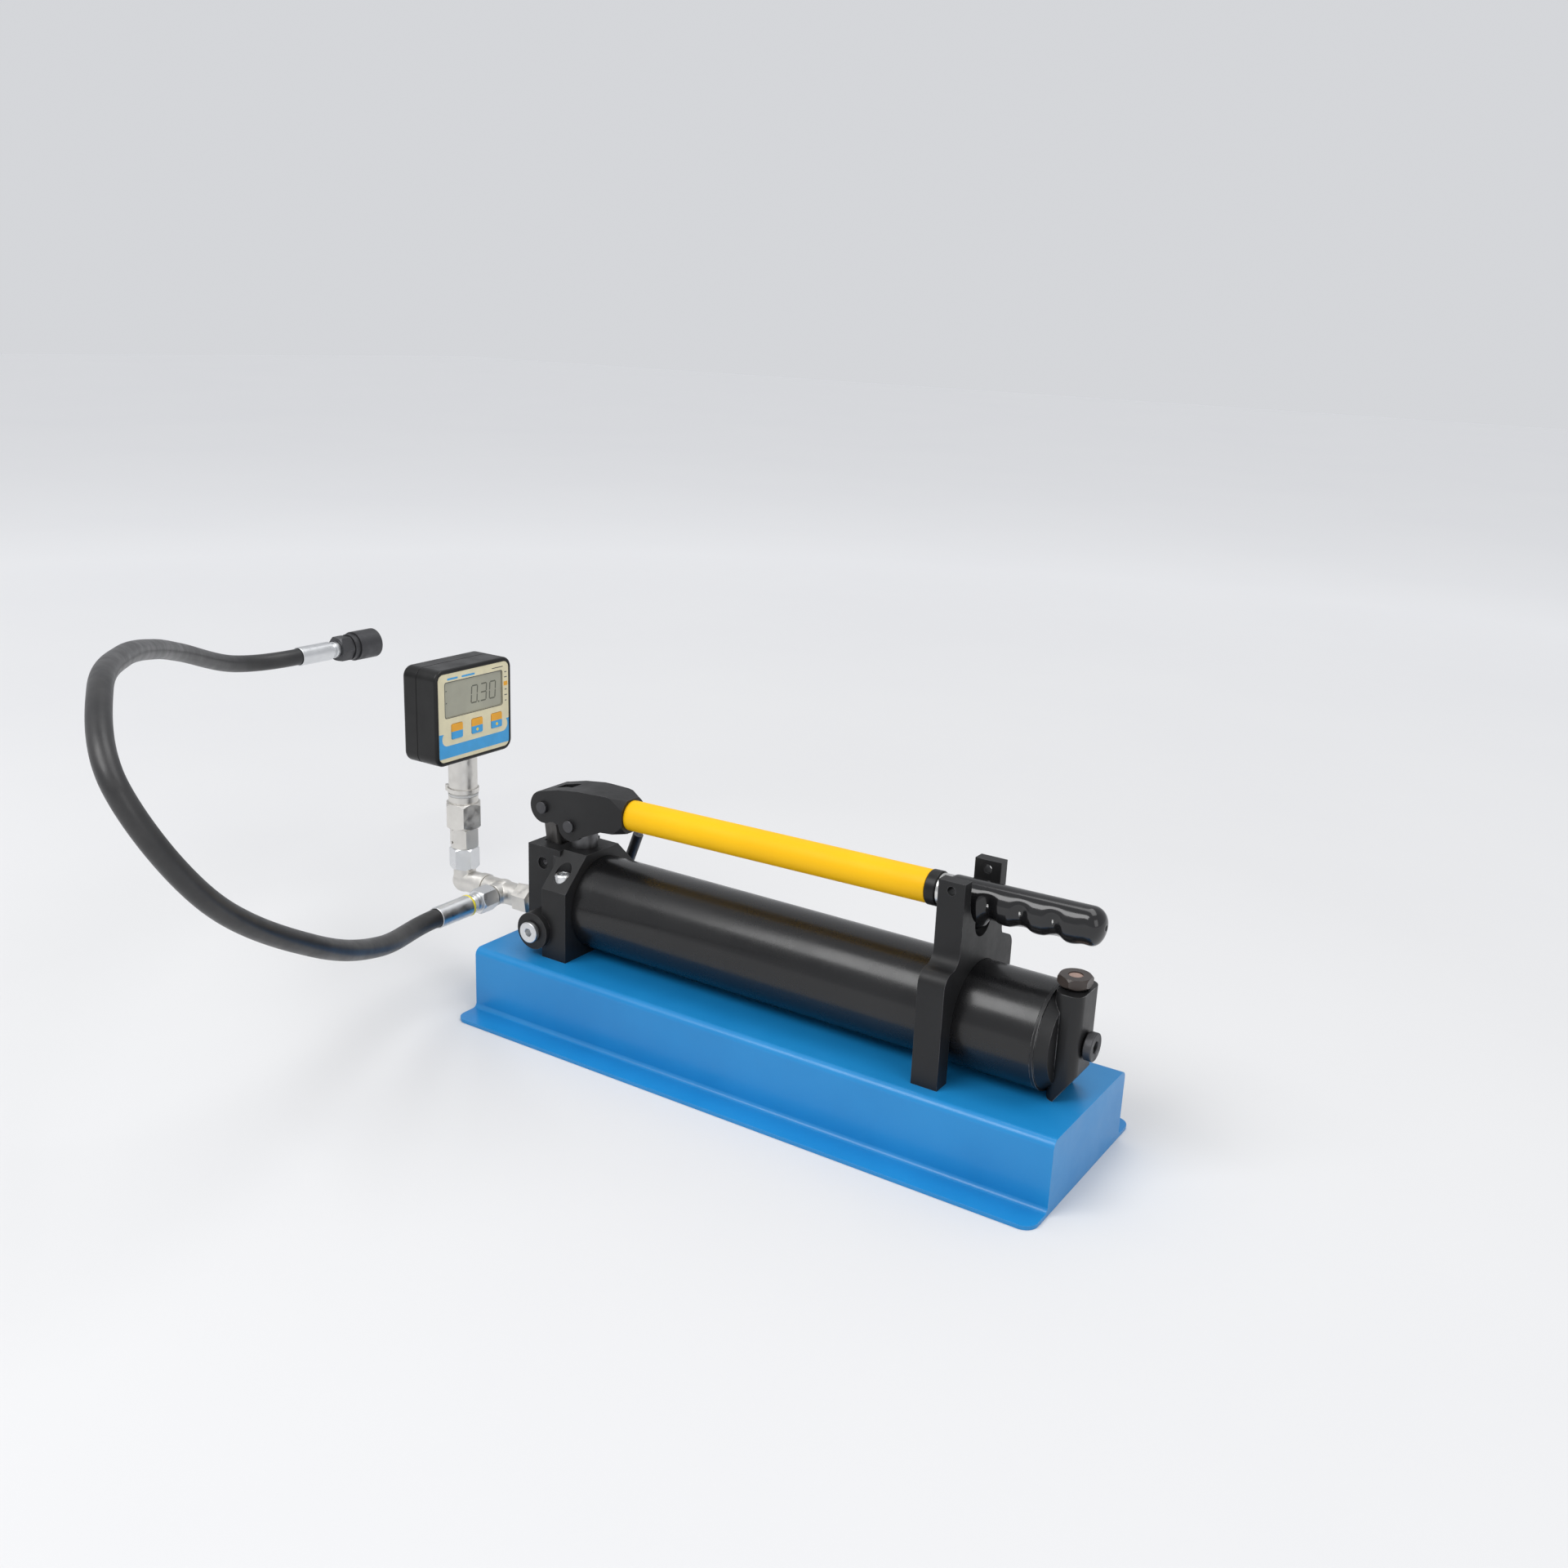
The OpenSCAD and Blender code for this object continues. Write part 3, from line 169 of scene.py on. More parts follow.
def enamel(name, dark, light, rough, peel, coat, wear_and_highlight_colour=None, wear_and_highlight_radius=0.0009, wear_and_highlight_amount=0.5, speck=0.12,
           spec=0.5):
    """Paint on steel: mottled colour, orange peel, dust in the gloss, and edges in a second colour:
    rubbed-through paint, and on the rear cap also a painted highlight along its rim.
    """
    s = Shader(name)
    cloud = s.remap(s.noise(9.0, 6.0), 0.35, 0.68)
    colour = s.mix(cloud, dark, light)
    dust = s.maths("MULTIPLY", s.remap(s.noise(900.0, 2.0), 0.68, 0.74), speck)
    colour = s.mix(dust, colour, [min(1, c * 1.5 + 0.02) for c in light])
    # Edge colour: rubbed-through paint; on the rear cap the bright grey also paints the highlight along its
    # rim.
    if wear_and_highlight_colour is not None:
        patchy = s.remap(s.noise(60.0, 5.0, 0.7), 0.42, 0.62)
        wear_and_highlight_mask = s.maths("MULTIPLY", s.edges(wear_and_highlight_radius), s.maths("MULTIPLY", patchy, wear_and_highlight_amount))
        colour = s.mix(wear_and_highlight_mask, colour, wear_and_highlight_colour)
    smear = s.remap(s.noise(26.0, 5.0, 0.65), 0.3, 0.7, rough * 0.82, rough * 1.2)
    fine = s.noise(420.0, 3.0)
    broad = s.noise(75.0, 2.0)
    normal = s.bump(broad, peel * 0.6, 0.0006, s.bump(fine, peel, 0.0002))
    return s.finish(colour, smear, 0.0, normal, coat, 0.12, spec)


def metal(name, colour, rough, axis_stretch=(1, 1, 1), grain=0.12, marks=0.25):
    """Bare or plated steel: fine turning or drawing marks, stains and a roughness that varies."""
    s = Shader(name)
    tint = [c * 0.72 for c in colour]
    stain = s.remap(s.noise(38.0, 6.0, 0.62), 0.36, 0.66)
    base = s.mix(s.maths("MULTIPLY", stain, marks * 2), colour, tint)
    dull = s.remap(s.noise(140.0, 4.0, 0.6), 0.3, 0.7, rough * 0.75, rough * 1.35)
    scratch = s.noise(1500.0, 2.0, 0.5, axis_stretch)
    normal = s.bump(scratch, grain, 0.0001, s.bump(s.noise(230.0, 3.0), grain * 0.7, 0.0002))
    return s.finish(base, dull, 1.0, normal)


def rubber(name, colour, rough, grain, scale, coat=0.0, spec=0.5):
    s = Shader(name)
    tone = s.mix(s.remap(s.noise(22.0, 5.0), 0.35, 0.7), colour, [c * 1.7 + 0.004 for c in colour])
    shine = s.remap(s.noise(55.0, 4.0), 0.3, 0.7, rough * 0.8, rough * 1.15)
    normal = s.bump(s.noise(scale, 3.0), grain, 0.0003)
    return s.finish(tone, shine, 0.0, normal, coat, 0.08, spec)


def hose_cover():
    """Rubber hose with the fine wrapped-cloth imprint of its curing and handling dust."""
    s = Shader("hose_cover")
    wrap = s.wave(330.0, "X", "UV", (1.0, 0.06, 1.0), 0.6)
    weft = s.wave(330.0, "Y", "UV", (1.0, 1.0, 1.0), 0.3)
    cloth = s.maths("MULTIPLY", wrap, weft)
    dust = s.remap(s.noise(30.0, 6.0, 0.6), 0.42, 0.72)
    colour = s.mix(dust, (0.017, 0.017, 0.018), (0.034, 0.033, 0.033))
    rough = s.remap(s.noise(80.0, 4.0), 0.3, 0.7, 0.36, 0.50)
    normal = s.bump(cloth, 0.10, 0.0001, s.bump(s.noise(300.0, 3.0), 0.10, 0.0002))
    return s.finish(colour, rough, 0.0, normal, 0.12, 0.25)


def film(name, colour, rough=0.35, spread=0.08):
    """Printed polyester film: almost flat colour with a slight pearl and surface grain."""
    s = Shader(name)
    tone = s.mix(s.remap(s.noise(120.0, 4.0), 0.35, 0.65), colour, [c * (1 - spread) for c in colour])
    shine = s.remap(s.noise(300.0, 3.0), 0.3, 0.7, rough * 0.85, rough * 1.15)
    return s.finish(tone, shine, 0.0, s.bump(s.noise(1800.0, 2.0), 0.08, 0.0001), 0.15, 0.1)


def display_glass():
    """Liquid crystal panel: grey-green, with a faint cloudy tone."""
    s = Shader("display_glass")
    cloud = s.remap(s.noise(30.0, 3.0), 0.3, 0.7)
    colour = s.mix(cloud, (0.40, 0.395, 0.30), (0.32, 0.315, 0.245))
    return s.finish(colour, 0.12, 0.0, s.bump(s.noise(900.0, 2.0), 0.02, 0.0001), 0.6, 0.03)


SKY = (0.95, 0.965, 1.0)
SKY_STRENGTH = 0.60
FLOOR_TONE = 0.75
FAR_GLOW = 0.25


def floor_paint():
    """Pale matt floor. Far from the object it glows a little, so that it fades into the backdrop."""
    s = Shader("floor_paint")
    tone = s.mix(s.remap(s.noise(1.5, 5.0), 0.3, 0.7), (0.76, 0.76, 0.76), (0.74, 0.74, 0.745))
    away = s.tree.nodes.new("ShaderNodeVectorMath")
    away.operation = "LENGTH"
    s.link(s.coords.outputs["Object"], away.inputs[0])
    glow = s.remap(away.outputs["Value"], 0.7, 2.6, 0.0, FAR_GLOW)
    s.put(s.bsdf.inputs["Emission Color"], SKY)
    s.put(s.bsdf.inputs["Emission Strength"], glow)
    return s.finish(tone, 0.85, 0.0, s.bump(s.noise(200.0, 2.0), 0.03, 0.0002), 0.0, 0.15, 0.2)


BLACK_WORN = (0.11, 0.11, 0.115)
MATS = {
    "tray_paint": enamel("tray_enamel", (0.009, 0.222, 0.545), (0.014, 0.258, 0.605), 0.34, 0.10,
                         0.12, (0.09, 0.34, 0.64), 0.0010, 0.45, 0.0, 0.42),
    "black_enamel": enamel("black_enamel", (0.008, 0.008, 0.0085), (0.014, 0.014, 0.0145), 0.46, 0.22,
                           0.0, BLACK_WORN, 0.0008, 0.8, 0.12, 0.38),
    "tube_paint": enamel("tube_enamel", (0.0055, 0.0055, 0.006), (0.009, 0.009, 0.0095), 0.27, 0.08,
                         0.10, None, 0.0009, 0.5, 0.10, 0.45),
    "yellow_paint": enamel("yellow_enamel", (0.92, 0.50, 0.0), (0.97, 0.555, 0.0005), 0.55, 0.06, 0.0,
                           (0.75, 0.36, 0.01), 0.0006, 0.5, 0.03, 0.28),
    "bright_steel": metal("bright_steel", (0.68, 0.68, 0.66), 0.24, (1, 30, 30)),
    "phosphated_steel": metal("phosphated_steel", (0.105, 0.105, 0.11), 0.48, (8, 8, 8), 0.16),
    "ground_piston": metal("ground_piston", (0.16, 0.16, 0.165), 0.36, (30, 30, 1), 0.14),
    "zinc_steel": metal("zinc_steel", (0.77, 0.78, 0.79), 0.33, (10, 10, 10), 0.05, 0.12),
    "nickel_steel": metal("nickel_steel", (0.76, 0.74, 0.70), 0.42, (12, 12, 2), 0.05, 0.12),
    "ball_steel": metal("ball_steel", (0.80, 0.80, 0.81), 0.08, (4, 4, 4), 0.03),
    "spring_steel": metal("spring_steel", (0.45, 0.45, 0.46), 0.30, (6, 6, 6), 0.10),
    "black_plastic": rubber("black_plastic", (0.0055, 0.0054, 0.0054), 0.38, 0.22, 1400.0, 0.0, 0.32),
    "grip_vinyl": rubber("grip_vinyl", (0.0055, 0.0055, 0.006), 0.17, 0.05, 120.0, 0.25, 0.45),
    "plug_plastic": rubber("plug_plastic", (0.040, 0.031, 0.027), 0.36, 0.15, 500.0),
    "breather_filter": rubber("breather_filter", (0.36, 0.25, 0.21), 0.75, 0.9, 1900.0),
    "seal_rubber": rubber("seal_rubber", (0.013, 0.013, 0.014), 0.5, 0.2, 700.0),
    "seal_plastic": rubber("seal_plastic", (0.40, 0.40, 0.39), 0.4, 0.1, 500.0),
    "ring_plastic": rubber("ring_plastic", (0.03, 0.09, 0.22), 0.4, 0.1, 500.0),
    "strainer_brass": metal("strainer_brass", (0.70, 0.52, 0.22), 0.32),
    "tube_steel": metal("tube_steel", (0.48, 0.48, 0.48), 0.35, (1, 20, 20)),
    "hose_rubber": hose_cover(),
    "faceplate_film": film("cream_film", (0.80, 0.73, 0.49)),
    "display_glass": display_glass(),
    "key_film": film("key_orange", (0.90, 0.41, 0.012)),
    "board_laminate": film("board_laminate", (0.02, 0.14, 0.06)),
}
# Rear cap's enamel: its bright grey edges are rubbed paint and also a painted highlight along the cap's
# rim.
CAP_ENAMEL_WEAR_AND_PAINTED_HIGHLIGHT = enamel("cap_enamel_wear_and_painted_highlight", (0.008, 0.008, 0.0085), (0.014, 0.014, 0.0145), 0.40, 0.20,
                    0.0, (0.42, 0.42, 0.42), 0.0007, 1.0, 0.12, 0.40)
LINK_STEEL = metal("link_steel", (0.15, 0.145, 0.14), 0.5, (8, 8, 8), 0.16)
FILM_BLUE = film("film_blue", (0.035, 0.37, 0.76))
FILM_ORANGE = MATS["key_film"]
FILM_YELLOW = film("film_yellow", (0.90, 0.66, 0.05))
FILM_DARK = film("film_dark", (0.07, 0.07, 0.065))
SEGMENT_INK = film("segment_ink", (0.13, 0.13, 0.095), 0.2)
BAND_YELLOW = film("band_yellow", (0.85, 0.72, 0.03))


# ---------- mesh helpers ----------


def add_piece(name, verts, faces, material, body, smooth=True, uvs=None):
    """Makes one visible piece from lists of corners and faces, and puts it on its body."""
    mesh = bpy.data.meshes.new(name)
    mesh.from_pydata([tuple(v) for v in verts], [], faces)
    if uvs is not None:
        layer = mesh.uv_layers.new(name="wrap")
        for loop in mesh.loops:
            layer.data[loop.index].uv = uvs[loop.vertex_index]
    mesh.materials.append(material)
    for polygon in mesh.polygons:
        polygon.use_smooth = smooth
    bm = bmesh.new()
    bm.from_mesh(mesh)
    bmesh.ops.recalc_face_normals(bm, faces=bm.faces)
    bm.to_mesh(mesh)
    bm.free()
    piece = bpy.data.objects.new(name, mesh)
    bpy.context.scene.collection.objects.link(piece)
    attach(piece, body)
    return piece


def soften(piece, width):
    """Rounds a hard piece's edges with modifiers only, so that its own mesh stays as it is."""
    weld = piece.modifiers.new("weld", "WELD")
    weld.merge_threshold = 1e-6
    flat = piece.modifiers.new("flat", "DECIMATE")
    flat.decimate_type = "DISSOLVE"
    flat.angle_limit = math.radians(0.4)
    if width > 0:
        bevel = piece.modifiers.new("bevel", "BEVEL")
        bevel.width = width
        bevel.segments = 3
        bevel.limit_method = "ANGLE"
        bevel.angle_limit = math.radians(32)
        bevel.use_clamp_overlap = True
        bevel.miter_outer = "MITER_ARC"
    normals = piece.modifiers.new("normals", "WEIGHTED_NORMAL")
    normals.weight = 90
    normals.keep_sharp = False


def skin(rings, sides):
    """Faces of a closed skin over rings of equal length, listed one after another, with both end caps."""
    faces = []
    for i in range(rings - 1):
        for k in range(sides):
            a, b = i * sides + k, i * sides + (k + 1) % sides
            faces.append((a, b, b + sides, a + sides))
    faces.append(tuple(range(sides)))
    faces.append(tuple(range((rings - 1) * sides, rings * sides)))
    return faces


def lathe(profile, origin, axis, sides=64):
    """Turns a list of (radius, distance along axis) round an axis. The ends are closed with flat faces."""
    axis = Vector(axis).normalized()
    side = axis.orthogonal().normalized()
    other = axis.cross(side)
    verts = []
    for radius, along in profile:
        for k in range(sides):
            a = 2 * math.pi * k / sides
            out = side * math.cos(a) + other * math.sin(a)
            verts.append(Vector(origin) + axis * along + out * radius)
    return verts, skin(len(profile), sides)


def curve_point(a, b, c, d, t):
    """A point of a Catmull-Rom curve between b and c."""
    return 0.5 * (2 * b + (c - a) * t + (2 * a - 5 * b + 4 * c - d) * t * t
                  + (3 * b - a - 3 * c + d) * t * t * t)


def sweep(points, radius, sides):
    """Corners, faces and (length, way round) coordinates of a round bar along a line."""
    count = len(points)
    side = Vector((0, 0, 1))
    verts, uvs, run = [], [], 0.0
    for i, p in enumerate(points):
        ahead = (points[min(i + 1, count - 1)] - points[max(i - 1, 0)]).normalized()
        side = (side - ahead * side.dot(ahead)).normalized()
        other = ahead.cross(side)
        if i:
            run += (p - points[i - 1]).length
        for k in range(sides):
            a = 2 * math.pi * k / sides
            verts.append(p + (side * math.cos(a) + other * math.sin(a)) * radius)
            uvs.append((run, abs(2 * k / sides - 1) * math.pi * radius))
    return verts, skin(count, sides), uvs


def rounded_outline(width, height, radius, steps=10):
    """Points of a rounded rectangle round the origin, counter-clockwise."""
    points = []
    for sx, sy, start in ((1, 1, 0), (-1, 1, 90), (-1, -1, 180), (1, -1, 270)):
        cx, cy = sx * (width / 2 - radius), sy * (height / 2 - radius)
        for k in range(steps + 1):
            a = math.radians(start + 90 * k / steps)
            points.append((cx + radius * math.cos(a), cy + radius * math.sin(a)))
    return points


# ---------- CAD nodes that keep their shape ----------

OWN_MATERIAL = {"rear_cap": CAP_ENAMEL_WEAR_AND_PAINTED_HIGHLIGHT, "fulcrum_link": LINK_STEEL}
REPLACED = {"hose", "handle_grip", "gauge_front_case", "gauge_rear_case", "gauge_faceplate",
            "key_left", "key_middle", "key_right"}
EDGE_WIDTH = {"base_tray": 1.6, "pump_head": 1.0, "handle_bracket": 1.0, "rear_cap": 1.6, "lever_head": 1.8,
              "reservoir_tube": 0.3, "handle_tube": 0.5, "filler_plug": 0.7, "tie_screw": 0.8,
              "side_plug": 0.9, "handle_collar": 0.8, "handle_ring": 0.4, "outlet_adapter": 0.5,
              "tee_fitting": 0.6, "elbow_fitting": 0.6, "elbow_nut": 0.5, "snubber_nut": 0.5,
              "gauge_nut": 0.6, "hose_nut": 0.5, "gauge_stem": 0.8, "hose_ferrules": 0.6,
              "hose_coupler": 0.7, "release_spindle": 0.8, "release_lever": 0.7,
              "fulcrum_pin": 0.8, "piston_pin": 0.8, "gauge_seal": 0.4, "display_panel": 0.2,
              "relief_screw": 0.5, "piston": 0.3}
slot_of = {s["node"]: s["material_slot"] for s in frame["record"]["subparts"]}

for node, piece in frame["nodes"].items():
    if node in REPLACED:
        continue
    for material_slot in piece.material_slots:
        material_slot.link = "OBJECT"
        material_slot.material = OWN_MATERIAL.get(node) or MATS[slot_of[node]]
    soften(piece, EDGE_WIDTH.get(node, 0.0) * MM)


# ---------- hose ----------

HOSE_R = 7.6 * MM
HOSE_SIDES = 40
HOSE_STEPS = 18              # stations between two of the points below
# Points that the hose passes through, in mm: from the tee's axis, from the pump's centre plane
# and from the outlet's height
HOSE_WAY = [(0, -78, 0), (31, -165, 13), (76, -263, 58), (98, -356, 123), (82, -401, 203),
            (13, -360, 241), (-73, -286, 236), (-156, -206, 216), (-232, -128, 190)]
HOSE_END_Y = 40 * MM
BEFORE_END = Vector((0, -70, 5)) * MM
INTO_FERRULES = (30 * MM, 34 * MM)


def mirrored(end, following):
    """A point beyond an end of the hose, placed so that the curve leaves the end along Y."""
    return Vector((following.x, 2 * end.y - following.y, following.z))


def hose_points():
    """Middle line of the hose, from the tee's ferrule to the coupler, in the places the CAD states."""
    start = mid("hose_nut")
    end = mid("hose_coupler")
    way = [Vector((start.x + x * MM, y * MM, start.z + z * MM)) for x, y, z in HOSE_WAY]
    last = Vector((end.x, HOSE_END_Y, end.z))
    way += [last + BEFORE_END, last]
    ends = [mirrored(way[0], way[1])] + way + [mirrored(last, way[-2])]
    line = [way[0] + Vector((0, INTO_FERRULES[0], 0))]
    for i in range(1, len(ends) - 2):
        line += [curve_point(*ends[i - 1:i + 3], j / HOSE_STEPS) for j in range(HOSE_STEPS)]
    return line + [last, last + Vector((0, INTO_FERRULES[1], 0))]


def build_hose():
    verts, faces, uvs = sweep(hose_points(), HOSE_R, HOSE_SIDES)
    hose = add_piece("hose_body", verts, faces, MATS["hose_rubber"], "pump_body", uvs=uvs)
    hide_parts("hose")


# ---------- grip ----------

# The grip's measures are in mm; those along the handle count from above the tray's middle.
GRIP_TILT = math.radians(0.9)
GRIP_START = 134
GRIP_END = 245.2
GRIP_END_ROUND = 10.6
GRIP_TOP = 12.6              # radius above the axis
GRIP_SIDES = 48
# (distance along the handle, depth below the axis) of the grip's underside
GRIP_BELLY = [(134, 12.2), (143, 12.8), (149, 19.0), (154.5, 22.6), (159, 19.5), (164, 13.8), (176.5, 14.8),
              (188.5, 13.2), (200, 15.2), (212, 13.6), (223, 15.8), (231, 14.6), (238, 15.2)]
FINGER_DENTS = (165, 188.5, 212, 235)
DENT_REACH = 8.5             # half length of a dent
DENT_DEPTH = 0.21            # of the grip's radius
FADING_DENT = 226            # beyond this the last dent is shallow


def smooth_value(table, x):
    """Reads a table of (x, value) with soft steps between its rows."""
    for (x0, v0), (x1, v1) in zip(table, table[1:]):
        if x <= x1:
            t = min(max((x - x0) / (x1 - x0), 0.0), 1.0)
            return v0 + (v1 - v0) * t * t * (3 - 2 * t)
    return table[-1][1]


def grip_ring(x, shrink_to, sides):
    """One cross-section: round above the axis, a narrower oval below it, dented where the fingers lie."""
    top = GRIP_TOP * min(1.0, 0.955 + (x - GRIP_START) / 60)
    belly = smooth_value(GRIP_BELLY, x)
    dent = max(max(0.0, 1 - ((x - at) / DENT_REACH) ** 2) ** 2 for at in FINGER_DENTS)
    if x > FADING_DENT:
        dent *= 0.35
    ring = []
    for k in range(sides):
        a = 2 * math.pi * k / sides
        y, z = math.cos(a), math.sin(a)
        low = min(max((0.78 - z) / 0.7, 0.0), 1.0)
        scale = shrink_to * (1 - DENT_DEPTH * dent * low * low * (3 - 2 * low) * abs(y) ** 0.5)
        if z >= 0:
            ring.append((top * y * scale, top * z * scale))
        else:
            narrow = 1.0 - 0.16 * min(1.0, max(belly - top, 0) / 5.0) * z * z
            ring.append((top * y * narrow * scale, belly * z * scale))
    return ring


def grip_stations():
    """(distance along the handle, size of the section) from the rolled front edge to the end's dimple."""
    stations = [(GRIP_START, 0.82), (GRIP_START, 0.93), (GRIP_START + 0.5, 0.975)]
    stations += [(GRIP_START + 1.5 + i * 1.25, 1.0) for i in range(80)]
    stations += [(GRIP_END - GRIP_END_ROUND * (1 - math.sin(math.radians(a))),
                  math.cos(math.radians(a)) ** 0.9) for a in range(6, 84, 6)]
    return stations + [(GRIP_END - 0.05, 0.17), (GRIP_END - 0.5, 0.12), (GRIP_END - 1.6, 0.07)]


def build_grip():
    """Dipped vinyl grip with a guard lobe, three finger bumps and a dimpled round end."""
    axis_z = (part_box("handle_ring")[0][2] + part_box("handle_ring")[1][2]) / 2
    ring_x = mid("handle_ring").x
    stations = grip_stations()
    verts = []
    for x, shrink_to in stations:
        for y, z in grip_ring(x, shrink_to, GRIP_SIDES):
            along = x * MM - ring_x
            up = z * MM
            verts.append((ring_x + along * math.cos(GRIP_TILT) - up * math.sin(GRIP_TILT), y * MM,
                          axis_z + along * math.sin(GRIP_TILT) + up * math.cos(GRIP_TILT)))
    grip = add_piece("grip_vinyl", verts, skin(len(stations), GRIP_SIDES), MATS["grip_vinyl"],
                     "lever")
    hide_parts("handle_grip")


def build_band():
    """Yellow mark round the end of the ferrule at the tee."""
    start = mid("hose_nut")
    ferrule_r, raised, length, slope = 8.8 * MM, 0.22 * MM, 1.9 * MM, 0.2 * MM
    front_y = -41.3 * MM
    profile = [(ferrule_r, -length), (ferrule_r + raised, slope - length), (ferrule_r + raised, -slope),
               (ferrule_r, 0.0)]
    verts, faces = lathe(profile, (start.x, front_y, start.z), (0, 1, 0))
    add_piece("ferrule_band", verts, faces, BAND_YELLOW, "pump_body")


# ---------- gauge ----------

INK = 0.05 * MM              # thickness of the print on the face
READING = "030"


def loop_at(outline, x, centre):
    return [Vector((x, centre[0] + y, centre[1] + z)) for y, z in outline]


def plate(name, loops, x0, x1, material, body, centre):
    """A flat piece in the gauge's plane between x0 and x1. loops: its outline, then its holes."""
    verts, faces = [], []
    for outline in loops:
        start, sides = len(verts), len(outline)
        verts += loop_at(outline, x0, centre) + loop_at(outline, x1, centre)
        for k in range(sides):
            a, b = start + k, start + (k + 1) % sides
            faces.append((a, b, b + sides, a + sides))
    flat = [[Vector((y, z, 0)) for y, z in outline] for outline in loops]
    index = []
    start = 0
    for outline in loops:
        index += [(start + k, start + len(outline) + k) for k in range(len(outline))]
        start += 2 * len(outline)
    for triangle in tessellate_polygon(flat):
        faces.append(tuple(index[k][0] for k in triangle))
        faces.append(tuple(index[k][1] for k in triangle))
    return add_piece(name, verts, faces, material, body, smooth=False)


def moved(outline, dy, dz):
    return [(y + dy, z + dz) for y, z in outline]


def case_shell(name, node, back_round, front_round, recess, rim, corner):
    """One half of the case: rounded outlines from its back to its front, then down into the recess."""
    centre = mid(node)
    (x_back, y0, z0), (x_front, y1, z1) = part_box(node)
    width, height = y1 - y0, z1 - z0
    turns = [math.pi / 2 * k / 6 for k in range(7)]
    stack = [(x_back + back_round * (1 - math.sin(a)), back_round * (1 - math.cos(a)))
             for a in reversed(turns)]
    stack += [(x_front - front_round * (1 - math.cos(a)), front_round * (1 - math.sin(a)))
              for a in reversed(turns)]
    if recess:
        stack += [(x_front, rim - 0.3 * MM), (x_front - 0.3 * MM, rim), (x_front - recess, rim)]
    verts, sides = [], 0
    for x, inset in stack:
        outline = rounded_outline(width - 2 * inset, height - 2 * inset, corner - inset)
        sides = len(outline)
        verts += loop_at(outline, x, (centre.y, centre.z))
    piece = add_piece(name, verts, skin(len(stack), sides), MATS["black_plastic"], "pump_body")
    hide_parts(node)
    normals = piece.modifiers.new("normals", "WEIGHTED_NORMAL")
    normals.weight = 80


def build_case():
    corner, joint_round = 9 * MM, 0.7 * MM
    case_shell("gauge_front_shell", "gauge_front_case", joint_round, 2.4 * MM, 1.5 * MM, 3.1 * MM, corner)
    case_shell("gauge_rear_shell", "gauge_rear_case", 3.6 * MM, joint_round, 0, 0, corner)


def foot_outline(outline, bay, low, top):
    """The blue foot: the face's outline between two heights, less the bay in its upper side."""
    half = max(y for y, _ in outline)
    edge = [(y, max(z, low)) for y, z in outline if z < top]
    bay_side = sorted((p for p in bay if p[1] < top), key=lambda p: math.atan2(p[1] - top, p[0]))
    return [(-half, top), *edge, (half, top), *reversed(bay_side)]


# Which of the seven segments each figure lights: top, two upper sides, middle, two lower sides, bottom
FIGURES = {"0": (1, 1, 1, 0, 1, 1, 1), "3": (1, 0, 1, 1, 0, 1, 1)}


def segment_outlines(figure, width, height, stroke):
    """Slim six-cornered bars of one seven-segment figure round its middle."""
    half = height / 2
    gap = stroke * 0.12
    side_x = width / 2
    rows = [(0, half, "flat"), (-side_x, half / 2, "tall"), (side_x, half / 2, "tall"), (0, 0, "flat"),
            (-side_x, -half / 2, "tall"), (side_x, -half / 2, "tall"), (0, -half, "flat")]
    bars = []
    for lit, (cx, cz, kind) in zip(FIGURES[figure], rows):
        if not lit:
            continue
        length = (width if kind == "flat" else half) / 2 - gap
        t = stroke / 2
        bar = [(-length, 0), (-length + t, -t), (length - t, -t), (length, 0), (length - t, t),
               (-length + t, t)]
        if kind == "tall":
            bar = [(b, a) for a, b in reversed(bar)]
        bars.append([(a + cx, b + cz) for a, b in bar])
    return bars


def build_display(x, centre):
    """The reading on the display: three figures, a point and two small arrow marks."""
    figure_w, figure_h, stroke, pitch = 6.6 * MM, 14.2 * MM, 1.15 * MM, 10.6 * MM
    lean = math.tan(math.radians(4))
    first = 1.0 * MM
    ink = []
    for i, figure in enumerate(READING):
        for bar in segment_outlines(figure, figure_w, figure_h, stroke):
            ink.append([(y + first + i * pitch + z * lean, z) for y, z in bar])
    point = rounded_outline(1.5 * MM, 1.5 * MM, 0.3 * MM, 3)
    ink.append(moved(point, first + pitch / 2 - 0.5 * MM, -figure_h / 2))
    tail_y, tip_y, half = -31.5 * MM, -30.0 * MM, 0.8 * MM
    for dz in (7.5 * MM, -2.5 * MM):
        ink.append([(tail_y, dz - half), (tip_y, dz), (tail_y, dz + half)])
    for i, outline in enumerate(ink):
        plate(f"display_mark_{i}", [outline], x, x + 0.06 * MM, SEGMENT_INK, "pump_body",
              centre)


def grown_box(node, grow, radius, centre, steps=10):
    """A CAD node's outline in the gauge's plane, made larger all over by grow and rounded."""
    lo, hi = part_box(node)
    outline = rounded_outline(hi[1] - lo[1] + grow, hi[2] - lo[2] + grow, radius, steps)
    return moved(outline, (lo[1] + hi[1]) / 2 - centre[0], (lo[2] + hi[2]) / 2 - centre[1])


